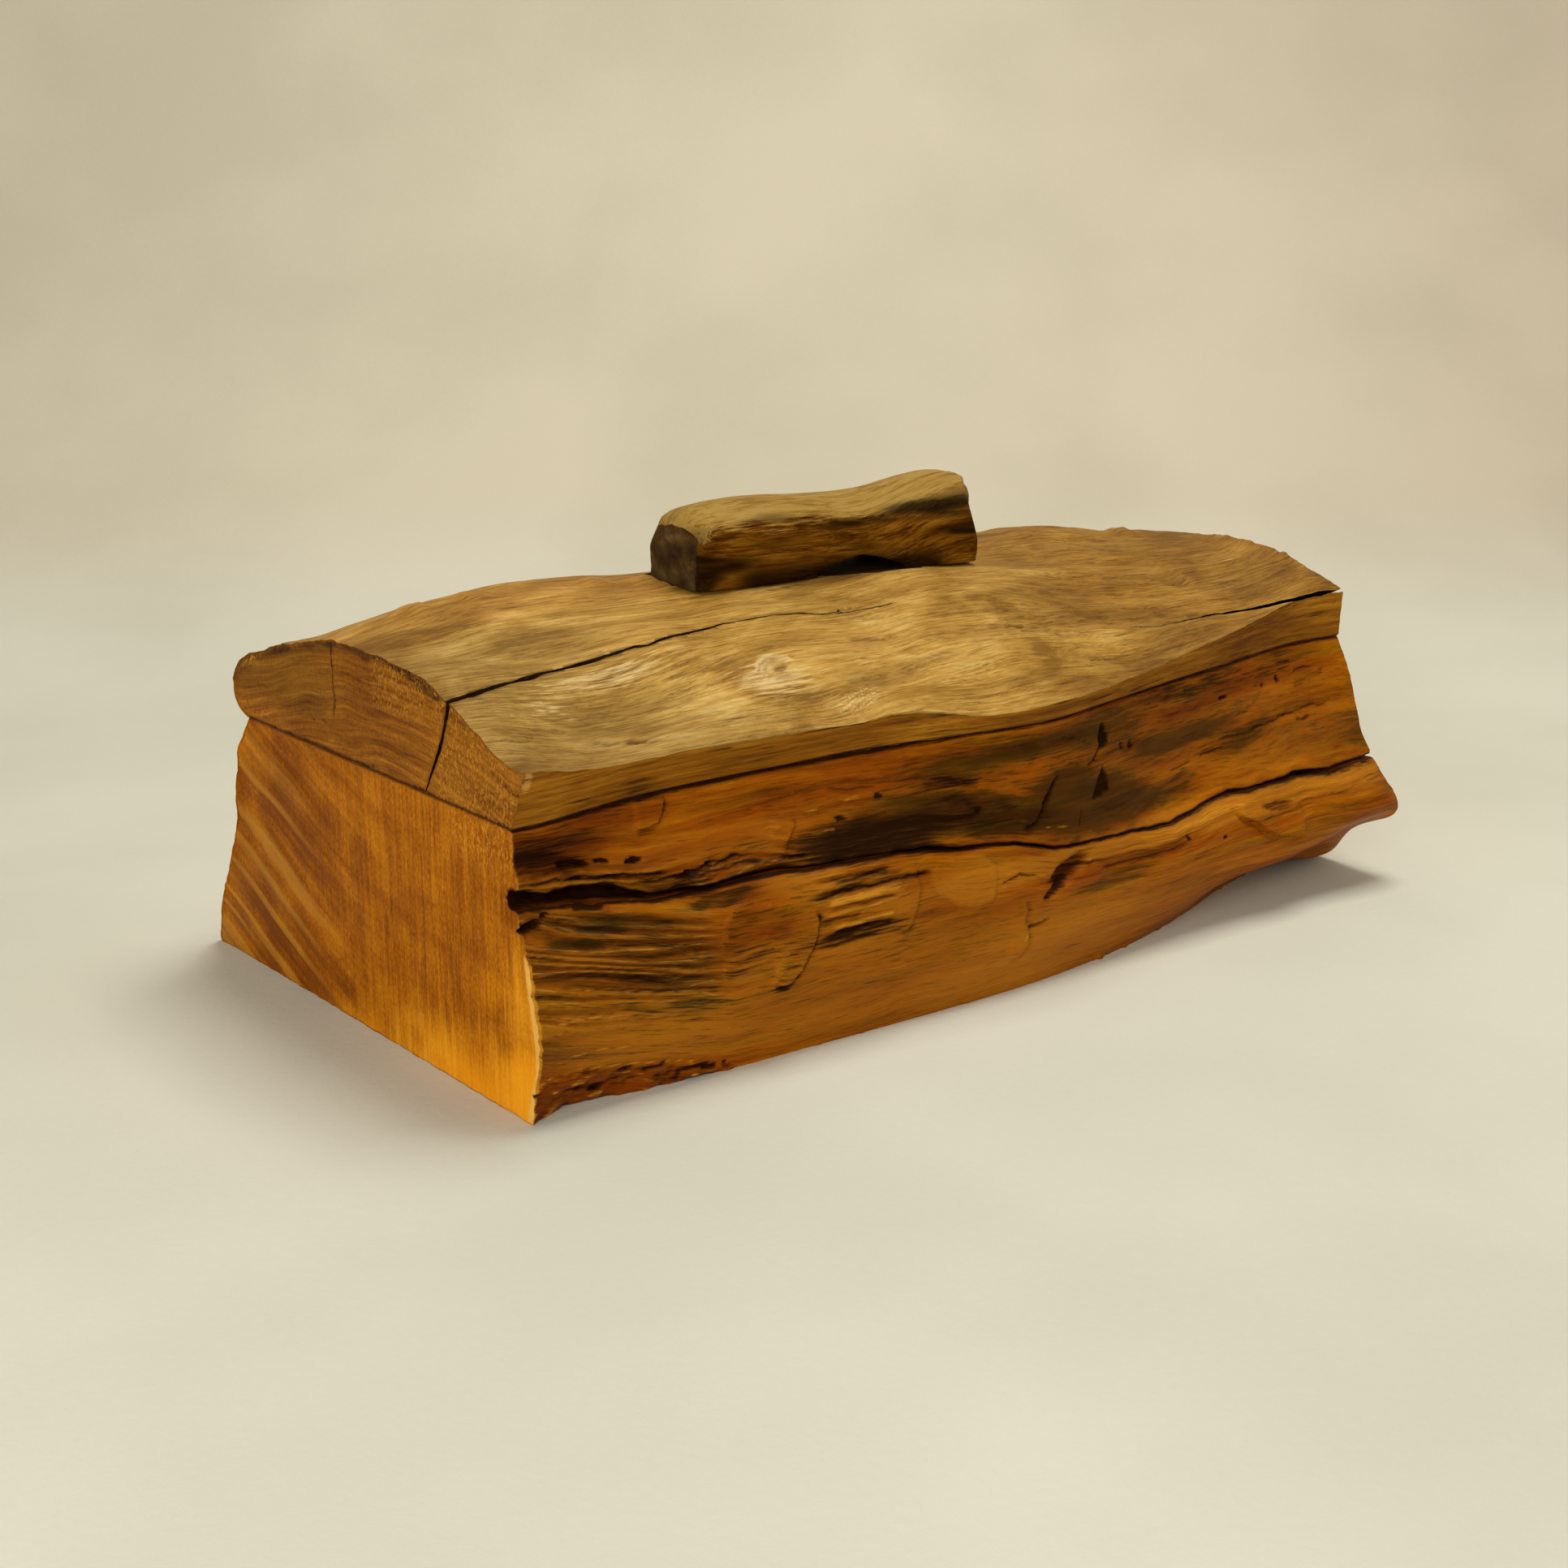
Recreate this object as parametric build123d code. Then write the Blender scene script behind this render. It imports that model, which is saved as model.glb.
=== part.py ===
from build123d import *
import os

# Natural-edge log box with a lift-off lid.
# The origin is the middle of the foot, +X runs along the log to the right, +Y to the back, +Z up.

# Driving dimensions of the sawn log, in millimetres
log_length = 331.0
foot_depth = 175.0
seam_height = 77.0
lid_rise = 42.0

# How far the natural faces wander from straight
front_swell = 20.0
rear_lean = 29.0
rear_wave = 6.0
strip_lean = 7.0
lid_overhang = 7.0

# The hollow
front_wall = 38.0
rear_wall = 45.0
end_wall = 20.0
cavity_corner = 8.0

# The base panel, let in from below and planed flush with the foot
panel_thickness = 10.0
panel_ledge = 10.0
panel_play = 0.3

# The two cleats under the lid, which fit the mouth of the hollow
cleat_width = 24.0
cleat_thickness = 9.0
cleat_play = 1.0
cleat_corner = 7.0

# The branch-wood handle
handle_length = 106.0
handle_width = 26.0
handle_height = 25.0
handle_yaw = -2.7
handle_tilt = 1.6
handle_start_x = -61.0
handle_start_y = -7.5
handle_seat = 36.0
bed_margin = 1.0

# Small countersunk screws for the panel and the cleats
screw_radius = 1.75
screw_head_radius = 3.5
screw_head_height = 2.2
screw_length = 22.0
screw_tip = 4.0
screw_sink = 0.4
screw_fit = 0.05

# Stout round-head screws that hold the handle, with their washers
bolt_radius = 2.5
bolt_head_radius = 4.5
bolt_head_height = 2.8
bolt_grip = 12.0
bolt_tip = 4.0
bore_radius = 7.0
bore_depth = 7.0
washer_radius = 6.0
washer_thickness = 1.2
washer_clearance = 0.3

# Drive recess in the screw heads
recess_width = 0.8
recess_depth = 1.0
recess_reach_share = 0.6
tip_share = 0.25

# The long shake in the front and the drying checks in the lid
shake_depth = 9.0
shake_gape = 7.0
check_gape = 1.6
check_root_gap = 0.3
split_depth = 14.0
cut_overrun = 5.0

# Places of the cross-sections along the log, as shares of its length
station_shares = [0, 0.04, 0.09, 0.18, 0.27, 0.36, 0.45, 0.55, 0.64, 0.73, 0.82, 0.91, 1]

# Front of the box: heights as shares of the seam height, and for each station
# how far the face stands back there, as shares of the front swell
front_height_shares = [0, 0.07, 0.19, 0.31, 0.42, 0.52, 0.62, 0.75, 0.88, 1]
front_relief_shares = [
    [0, -0.04, -0.2, -0.2, -0.12, -0.04, 0.03, 0.2, 0.1, 0.22],
    [0.24, 0.1, -0.2, -0.22, -0.17, -0.09, -0.01, 0.18, 0.22, 0.27],
    [0.1, 0, -0.23, -0.25, -0.23, -0.15, -0.05, 0.15, 0.35, 0.42],
    [-0.14, -0.18, -0.33, -0.35, -0.33, -0.25, -0.13, 0.13, 0.38, 0.49],
    [-0.25, -0.29, -0.4, -0.43, -0.4, -0.35, -0.25, 0.03, 0.28, 0.41],
    [-0.33, -0.38, -0.48, -0.5, -0.48, -0.43, -0.33, -0.08, 0.15, 0.29],
    [-0.41, -0.45, -0.55, -0.58, -0.55, -0.48, -0.38, -0.23, -0.08, 0.03],
    [-0.38, -0.44, -0.57, -0.6, -0.55, -0.43, -0.38, -0.3, -0.24, -0.16],
    [-0.25, -0.35, -0.53, -0.58, -0.48, -0.3, -0.23, -0.13, -0.05, 0.08],
    [0.13, -0.1, -0.45, -0.58, -0.53, -0.15, 0, 0.1, 0.23, 0.32],
    [0.6, 0.48, -0.4, -0.62, -0.48, -0.1, 0.08, 0.23, 0.4, 0.54],
    [1, 0.6, -0.2, -0.67, -0.55, -0.1, 0.1, 0.35, 0.6, 0.8],
    [1, 0.6, 0.04, -0.74, -0.48, 0, 0.11, 0.29, 0.48, 0.72],
]

# Back of the box: heights, how much of the rear lean is used up there,
# and a wave along the log
rear_height_shares = [0, 0.14, 0.27, 0.42, 0.58, 0.75, 0.88, 1]
rear_lean_shares = [0, 0.05, 0.21, 0.42, 0.56, 0.63, 0.75, 1]
rear_wave_shares = [0, 0.1, 0.2, 0.45, 0.5, 0.3, 0.05, -0.3, -0.5, -0.45, -0.2, 0.05, 0]

# Lid: places across its width, and for each station the height of the top there,
# as shares of the lid rise; the first place is the sharp arris over the sawn front strip
lid_width_shares = [0, 0.1, 0.22, 0.35, 0.48, 0.6, 0.72, 0.84, 0.93, 1]
lid_top_shares = [
    [0.39, 0.48, 0.65, 0.75, 0.8, 0.79, 0.72, 0.58, 0.46, 0.33],
    [0.335, 0.44, 0.65, 0.76, 0.83, 0.845, 0.76, 0.6, 0.47, 0.34],
    [0.28, 0.4, 0.64, 0.78, 0.88, 0.905, 0.81, 0.64, 0.5, 0.36],
    [0.26, 0.43, 0.67, 0.82, 0.92, 0.94, 0.84, 0.67, 0.51, 0.33],
    [0.23, 0.42, 0.67, 0.8, 0.87, 0.91, 0.83, 0.66, 0.5, 0.31],
    [0.24, 0.42, 0.65, 0.785, 0.857, 0.88, 0.81, 0.64, 0.48, 0.3],
    [0.14, 0.35, 0.61, 0.78, 0.85, 0.865, 0.8, 0.63, 0.46, 0.29],
    [0.14, 0.3, 0.55, 0.745, 0.83, 0.84, 0.78, 0.63, 0.45, 0.26],
    [0.15, 0.285, 0.51, 0.7, 0.795, 0.807, 0.75, 0.6, 0.44, 0.25],
    [0.2, 0.3, 0.44, 0.63, 0.76, 0.795, 0.73, 0.57, 0.43, 0.24],
    [0.26, 0.34, 0.46, 0.61, 0.73, 0.77, 0.7, 0.55, 0.4, 0.23],
    [0.33, 0.42, 0.52, 0.62, 0.68, 0.67, 0.6, 0.46, 0.33, 0.19],
    [0.36, 0.48, 0.58, 0.65, 0.63, 0.56, 0.46, 0.35, 0.24, 0.12],
]
strip_lean_shares = [0.95, 0.93, 0.9, 0.8, 0.7, 0.6, 0.5, 0.45, 0.4, 0.35, 0.3, 0.2, 0.1]
lid_rear_shares = [0.9, 0.95, 1, 1.05, 1, 0.85, 0.7, 0.55, 0.45, 0.5, 0.6, 0.5, 0.3]
lid_nose_height_share = 0.1
lid_nose_share = 0.15

# Height of the shake along the front, as shares of the seam height, and its gape
shake_height_shares = [0.76, 0.747, 0.713, 0.669, 0.659, 0.647, 0.596, 0.514, 0.496, 0.509, 0.522, 0.514, 0.517]
shake_gape_shares = [1, 0.95, 0.6, 0.25, 0.18, 0.18, 0.18, 0.14, 0.12, 0.15, 0.3, 0.35, 0.38]

# Left check: its run along the log, its place across the foot's depth at the top
# and at its root, and how high its root lies, as shares of the lid rise
check_run_shares = [0, 0.15, 0.3, 0.45]
check_top_shares = [0.123, 0.189, 0.22, 0.223]
check_root_shares = [0.303, 0.28, 0.274, 0.229]
check_floor_shares = [0, 0.2, 0.42, 0.64]
check_gape_shares = [1, 0.9, 0.6, 0.25]

# Right check: it opens at the arris by the right end and climbs on to the top
split_run_shares = [0.72, 0.82, 0.91, 1]
split_mouth_shares = [0.13, 0.1, 0.085, 0.06]
split_height_shares = [0.38, 0.35, 0.37, 0.37]
split_gape_shares = [0.25, 0.5, 0.7, 0.9]
split_dip_share = 0.5

# Handle: places along it, and at each the heights of the front arris, the crown,
# the hollow underneath and the waist, as shares of its own height and width
grip_run_shares = [0, 0.05, 0.2, 0.36, 0.5, 0.66, 0.78, 0.93, 1]
grip_arris_shares = [0.64, 0.68, 0.76, 0.76, 0.7, 0.7, 0.84, 1, 0.96]
grip_crown_shares = [0.68, 0.84, 0.92, 0.92, 0.9, 0.92, 1.0, 1.07, 1.02]
grip_hollow_shares = [-0.12, -0.12, -0.12, -0.06, 0.16, 0.16, -0.06, -0.12, -0.12]
grip_front_shares = [0.46, 0.5, 0.5, 0.48, 0.43, 0.42, 0.46, 0.5, 0.48]
grip_rear_shares = [0.44, 0.5, 0.52, 0.5, 0.46, 0.45, 0.48, 0.5, 0.46]
grip_bulge_share = 0.03
grip_crown_bulge_share = 0.05
grip_shoulder_share = 0.12

# Places of the screws
panel_screw_shares = [0.1, 0.5, 0.9]
cleat_screw_shares = [0.12, 0.5, 0.88]
bolt_place_shares = [0.17, 0.86]

# Places worked out from the sizes above
half_length = log_length / 2
front_plane = -foot_depth / 2
rear_plane = foot_depth / 2
cavity_length = log_length - 2 * end_wall
cavity_depth = foot_depth - front_wall - rear_wall
cavity_y = (front_wall - rear_wall) / 2
ledge_length = cavity_length + 2 * panel_ledge
ledge_depth = cavity_depth + 2 * panel_ledge
seat_height = seam_height + handle_seat
station_x = [share * log_length - half_length for share in station_shares]
handle_start = Pos(handle_start_x, handle_start_y, seat_height)
handle_frame = handle_start * Rot(0, 0, handle_yaw) * Rot(0, handle_tilt, 0)
bolt_seat = seam_height + bore_depth - washer_thickness


def run_edge(points):
    """One edge of a cross-section: straight through two points, a spline through more."""
    if len(points) == 2:
        return Edge.make_line(*points)
    return Edge.make_spline(points)


def skin(sections, straight=False):
    """A solid through closed cross-sections, each a list of runs of points."""
    wires = [Wire([run_edge(run) for run in runs]) for runs in sections]
    return Solid.make_loft(wires, ruled=straight)


def block(length, depth, corner, low, high, centre_y=0):
    """A vertical block with rounded corners between two heights."""
    plan = Pos(0, centre_y, low) * RectangleRounded(length, depth, corner)
    return extrude(plan, high - low)


def slab(low, high):
    """Everything between two heights, as wide as the whole object needs."""
    reach = 2 * (log_length + foot_depth)
    return Pos(0, 0, (low + high) / 2) * Box(reach, reach, high - low)


def body_section(x, relief_shares, wave_share):
    """Outline of the log across the grain, from below the foot to above the seam."""
    front = [
        Vector(x, front_plane + share * front_swell, height * seam_height)
        for share, height in zip(relief_shares, front_height_shares)
    ]
    rear = [
        Vector(x, rear_plane - lean * rear_lean + wave_share * rear_wave, height * seam_height)
        for lean, height in zip(rear_lean_shares, rear_height_shares)
    ]
    below = Vector(0, 0, -cut_overrun)
    above = Vector(0, 0, cut_overrun)
    front = [front[0] + below] + front + [front[-1] + above]
    rear = [rear[0] + below] + rear + [rear[-1] + above]
    return [front, [front[-1], rear[-1]], rear[::-1], [rear[0], front[0]]]


def relief_at(height_share, relief_shares):
    """How far the front stands back at one height, between the listed heights."""
    spans = list(zip(front_height_shares, front_height_shares[1:], relief_shares, relief_shares[1:]))
    low, high, low_relief, high_relief = next(span for span in spans if height_share <= span[1])
    along = (height_share - low) / (high - low)
    return (low_relief + along * (high_relief - low_relief)) * front_swell


def ring(corners):
    """The straight runs of a closed polygon."""
    return [[a, b] for a, b in zip(corners, corners[1:] + corners[:1])]


def front_shake():
    """A wedge along the front that opens the natural shake."""
    sections = []
    for place, x in enumerate(station_x):
        height = shake_height_shares[place] * seam_height
        gape = shake_gape_shares[place] * shake_gape / 2
        face = front_plane + relief_at(shake_height_shares[place], front_relief_shares[place])
        mouth = face - cut_overrun
        root = face + shake_depth
        flare = gape * (shake_depth + cut_overrun) / shake_depth
        corners = [
            Vector(x, mouth, height - flare),
            Vector(x, mouth, height + flare),
            Vector(x, root, height + check_root_gap / 2),
            Vector(x, root, height - check_root_gap / 2),
        ]
        sections.append(ring(corners))
    return skin(sections, straight=True)


def screw_hole():
    """Room for a countersunk screw, with its fit all round."""
    head_radius = screw_head_radius + screw_fit
    radius = screw_radius + screw_fit
    mouth = Pos(0, 0, -screw_sink / 2) * Cylinder(head_radius, screw_sink)
    head = Pos(0, 0, screw_head_height / 2) * Cone(head_radius, radius, screw_head_height)
    shank = Pos(0, 0, (screw_length + screw_fit) / 2) * Cylinder(radius, screw_length + screw_fit)
    return mouth + head + shank


def bolt_hole():
    """Room for a handle screw, its washer and its counterbore, from the seam up."""
    length = seat_height - bolt_seat + bolt_grip + screw_fit
    shank = Pos(0, 0, bolt_seat + length / 2) * Cylinder(bolt_radius + screw_fit, length)
    bore_top = seam_height + bore_depth
    bore = Pos(0, 0, bore_top - bore_depth / 2) * Cylinder(bore_radius, bore_depth)
    return shank + bore


def bolt_place(share):
    """Where a handle screw stands upright through the lid, at a share of the handle's length."""
    foot = (handle_frame * Pos(share * handle_length, 0, 0)).position
    return Pos(foot.X, foot.Y, 0)


bolt_places = [bolt_place(share) for share in bolt_place_shares]

panel_screw_places = [
    Pos((share - 0.5) * cavity_length, cavity_y + side * (cavity_depth + panel_ledge) / 2, screw_sink)
    for side in (-1, 1)
    for share in panel_screw_shares
]
cleat_x = cavity_length / 2 - cleat_play - cleat_width / 2
cleat_length = cavity_depth - 2 * cleat_play
cleat_base = seam_height - cleat_thickness
cleat_screw_places = {
    side: [Pos(side * cleat_x, cavity_y + (share - 0.5) * cleat_length, cleat_base + screw_sink)
           for share in cleat_screw_shares]
    for side in (-1, 1)
}


def box_body():
    """The hollowed log, open right through, with a ledge for the base panel."""
    sections = [body_section(x, relief, wave)
                for x, relief, wave in zip(station_x, front_relief_shares, rear_wave_shares)]
    log = skin(sections) & slab(0, seam_height)
    hollow = block(cavity_length, cavity_depth, cavity_corner, -cut_overrun, seam_height + cut_overrun,
                   cavity_y)
    ledge = block(ledge_length, ledge_depth, cavity_corner, -cut_overrun, panel_thickness, cavity_y)
    log = log - hollow - ledge - front_shake()
    for place in panel_screw_places:
        log = log - place * screw_hole()
    return log


def base_panel():
    """The bottom, let into the ledge."""
    panel = block(ledge_length - 2 * panel_play, ledge_depth - 2 * panel_play, cavity_corner - panel_play,
                  0, panel_thickness, cavity_y)
    for place in panel_screw_places:
        panel = panel - place * screw_hole()
    return panel


def lid_section(place, x):
    """Outline of the lid across the grain, from below the seam."""
    front_edge = front_plane + front_relief_shares[place][-1] * front_swell
    arris = front_edge - strip_lean_shares[place] * strip_lean
    rear_edge = rear_plane - rear_lean + rear_wave_shares[place] * rear_wave
    rear_top = rear_edge + lid_rear_shares[place] * lid_overhang
    width = rear_top - arris
    top = [Vector(x, arris + share * width, seam_height + rise * lid_rise)
           for share, rise in zip(lid_width_shares, lid_top_shares[place])]
    nose = Vector(x, rear_top + lid_nose_share * lid_overhang,
                  seam_height + lid_nose_height_share * lid_rise)
    low_front = Vector(x, front_edge, seam_height - cut_overrun)
    seam_front = Vector(x, front_edge, seam_height)
    seam_rear = Vector(x, rear_edge, seam_height)
    low_rear = Vector(x, rear_edge, seam_height - cut_overrun)
    return [[low_front, seam_front], [seam_front, top[0]], top,
            [top[-1], nose, seam_rear], [seam_rear, low_rear], [low_rear, low_front]]


def left_check():
    """A thin wedge through the lid at the left end that dies out along the top."""
    sections = []
    top = seam_height + lid_rise + cut_overrun
    for run, upper, root, floor, gape in zip(check_run_shares, check_top_shares, check_root_shares,
                                             check_floor_shares, check_gape_shares):
        x = run * log_length - half_length
        if run == 0:
            x = x - cut_overrun
        low = seam_height + floor * lid_rise
        if floor == 0:
            low = low - cut_overrun
        upper_y = front_plane + upper * foot_depth
        root_y = front_plane + root * foot_depth
        half = gape * check_gape / 2
        corners = [
            Vector(x, upper_y - half, top),
            Vector(x, upper_y + half, top),
            Vector(x, root_y + check_root_gap / 2, low),
            Vector(x, root_y - check_root_gap / 2, low),
        ]
        sections.append(ring(corners))
    return skin(sections, straight=True)


def right_check():
    """A thin wedge that opens at the arris by the right end."""
    sections = []
    for run, mouth, height, gape in zip(split_run_shares, split_mouth_shares, split_height_shares,
                                        split_gape_shares):
        x = run * log_length - half_length
        if run == 1:
            x = x + cut_overrun
        outer = front_plane + mouth * foot_depth - cut_overrun
        inner = front_plane + mouth * foot_depth + split_depth
        level = seam_height + height * lid_rise
        rise = cut_overrun * split_dip_share
        dip = split_depth * split_dip_share
        half = gape * check_gape / 2
        corners = [
            Vector(x, outer, level + rise - half),
            Vector(x, outer, level + rise + half),
            Vector(x, inner, level - dip + check_root_gap / 2),
            Vector(x, inner, level - dip - check_root_gap / 2),
        ]
        sections.append(ring(corners))
    return skin(sections, straight=True)


def handle_bed():
    """The flat pared along the lid's crest for the handle."""
    length = handle_length + 2 * bed_margin
    depth = handle_width + 2 * bed_margin
    return handle_frame * Pos(handle_length / 2, 0, lid_rise / 2) * Box(length, depth, lid_rise)


def lid_slab():
    """The slab sawn off the top of the log."""
    sections = [lid_section(place, x) for place, x in enumerate(station_x)]
    lid = skin(sections) & slab(seam_height, seam_height + 2 * lid_rise)
    lid = lid - left_check() - right_check() - handle_bed()
    for place in bolt_places:
        lid = lid - place * bolt_hole()
    for places in cleat_screw_places.values():
        for place in places:
            lid = lid - place * screw_hole()
    return lid


def lid_cleat(side):
    """A cleat across the underside of the lid, at one end of the hollow."""
    plan = Pos(side * cleat_x, cavity_y, cleat_base) * RectangleRounded(cleat_width, cleat_length,
                                                                       cleat_corner)
    cleat = extrude(plan, cleat_thickness)
    for place in cleat_screw_places[side]:
        cleat = cleat - place * screw_hole()
    return cleat


def handle_section(place, run_share):
    """Outline of the handle across its own length, foot downward."""
    x = run_share * handle_length
    front = -grip_front_shares[place] * handle_width
    rear = grip_rear_shares[place] * handle_width
    arris = grip_arris_shares[place] * handle_height
    crown = grip_crown_shares[place] * handle_height
    under = grip_hollow_shares[place] * handle_height
    waist = (under + arris) / 2
    bulge = grip_bulge_share * handle_width
    shoulder = (arris + crown) / 2 + grip_crown_bulge_share * handle_height
    brow = crown - grip_shoulder_share * handle_height
    return [
        [Vector(x, front, under), Vector(x, front - bulge, waist), Vector(x, front, arris)],
        [Vector(x, front, arris), Vector(x, front / 2, shoulder), Vector(x, rear / 2, crown),
         Vector(x, rear, brow)],
        [Vector(x, rear, brow), Vector(x, rear + bulge, waist), Vector(x, rear, under)],
        [Vector(x, rear, under), Vector(x, front, under)],
    ]


def handle_grip():
    """A length of branch wood, hollow underneath between its two feet."""
    sections = [handle_section(place, share) for place, share in enumerate(grip_run_shares)]
    grip = handle_frame * (skin(sections) & slab(0, 2 * handle_height))
    for place in bolt_places:
        grip = grip - place * bolt_hole()
    return grip


def drive_recess(head_radius):
    """Crossed slots cut in a screw head whose face is at zero."""
    reach = 2 * head_radius * recess_reach_share
    slot = Box(reach, recess_width, 2 * recess_depth)
    return slot + Rot(0, 0, 90) * slot


def wood_screw():
    """A countersunk wood screw, head face at zero, pointing up."""
    head = Pos(0, 0, screw_head_height / 2) * Cone(screw_head_radius, screw_radius, screw_head_height)
    straight = screw_length - screw_tip
    shank = Pos(0, 0, straight / 2) * Cylinder(screw_radius, straight)
    point = Pos(0, 0, straight + screw_tip / 2) * Cone(screw_radius, tip_share * screw_radius, screw_tip)
    return head + shank + point - drive_recess(screw_head_radius)


def handle_bolt():
    """A round-head screw, underside of its head at zero, pointing up."""
    straight = seat_height - bolt_seat + bolt_grip - bolt_tip
    head = Pos(0, 0, -bolt_head_height / 2) * Cylinder(bolt_head_radius, bolt_head_height)
    head = fillet(head.edges().group_by(Axis.Z)[0], bolt_head_height / 2)
    shank = Pos(0, 0, straight / 2) * Cylinder(bolt_radius, straight)
    point = Pos(0, 0, straight + bolt_tip / 2) * Cone(bolt_radius, tip_share * bolt_radius, bolt_tip)
    return head + shank + point - Pos(0, 0, -bolt_head_height) * drive_recess(bolt_head_radius)


def handle_washer():
    """A flat washer under a handle screw's head."""
    ring_plan = Circle(washer_radius) - Circle(bolt_radius + washer_clearance)
    return extrude(ring_plan, washer_thickness)


nodes = {
    "box_body": [box_body()],
    "base_panel": [base_panel()],
    "base_panel_screws": [place * wood_screw() for place in panel_screw_places],
    "lid_slab": [lid_slab()],
    "lid_cleat_left": [lid_cleat(-1)],
    "lid_cleat_right": [lid_cleat(1)],
    "lid_cleat_screws": [place * wood_screw()
                         for places in cleat_screw_places.values() for place in places],
    "handle_grip": [handle_grip()],
    "handle_screws": [Pos(0, 0, bolt_seat) * place * handle_bolt() for place in bolt_places],
    "handle_washers": [Pos(0, 0, bolt_seat) * place * handle_washer() for place in bolt_places],
}

os.makedirs("parts", exist_ok=True)
for name, pieces in nodes.items():
    solids = [solid for piece in pieces for solid in piece.solids()]
    shape = solids[0] if len(solids) == 1 else Compound(children=solids)
    shape.label = name
    export_step(shape, "parts/" + name + ".step")
    volume = sum(solid.volume for solid in solids)
    print(name, len(solids), "solids", round(volume), "cubic millimetres")
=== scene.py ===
# %% [markdown]
# # A natural-edge cherry wood box
#
# The box is a split log: a hollowed block, a slab lid with two drying checks, and a branch-wood
# handle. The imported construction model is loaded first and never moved. The three big pieces of
# natural wood get new meshes, measured from the construction model and then carved in code. The
# hidden joinery keeps its exact meshes and gets finishes.
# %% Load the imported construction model
import math

import bmesh
import bpy
import numpy as np
from mathutils import Euler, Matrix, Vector
from mathutils.bvhtree import BVHTree
from mathutils.geometry import delaunay_2d_cdt


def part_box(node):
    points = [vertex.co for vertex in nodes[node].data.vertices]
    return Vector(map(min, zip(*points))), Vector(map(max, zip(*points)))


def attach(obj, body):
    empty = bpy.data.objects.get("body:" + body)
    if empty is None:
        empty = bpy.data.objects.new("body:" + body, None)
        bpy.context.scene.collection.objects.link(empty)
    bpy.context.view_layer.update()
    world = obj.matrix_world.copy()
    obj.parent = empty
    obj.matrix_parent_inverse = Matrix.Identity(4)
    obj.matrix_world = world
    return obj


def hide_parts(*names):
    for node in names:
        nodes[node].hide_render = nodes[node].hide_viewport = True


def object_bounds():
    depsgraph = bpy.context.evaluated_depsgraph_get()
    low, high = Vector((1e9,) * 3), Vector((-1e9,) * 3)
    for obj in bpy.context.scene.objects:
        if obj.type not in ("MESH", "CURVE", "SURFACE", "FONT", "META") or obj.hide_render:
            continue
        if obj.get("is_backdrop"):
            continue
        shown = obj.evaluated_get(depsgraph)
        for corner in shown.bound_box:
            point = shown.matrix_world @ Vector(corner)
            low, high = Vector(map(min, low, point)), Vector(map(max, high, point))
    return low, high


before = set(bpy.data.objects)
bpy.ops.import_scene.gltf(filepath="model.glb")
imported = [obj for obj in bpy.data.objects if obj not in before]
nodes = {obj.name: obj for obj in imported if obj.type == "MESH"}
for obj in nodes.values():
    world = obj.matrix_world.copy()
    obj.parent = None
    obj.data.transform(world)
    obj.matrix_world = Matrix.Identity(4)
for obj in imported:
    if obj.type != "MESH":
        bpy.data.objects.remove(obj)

cad_low, cad_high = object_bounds()
MM = 0.001

# %% [markdown]
# ## Shader maths as plain expressions
#
# A wood finish is a long sum of noises and masks. Wiring each Math node by hand hides the
# thought, so one small class wraps a socket and lets `+`, `*` and the rest make the nodes.
# %% A class that turns expressions into shader nodes
# The Mix node has sockets for each kind of data: these are the ones for colours
COLOUR_A, COLOUR_B, MIXED_COLOUR = 6, 7, 2


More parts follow.
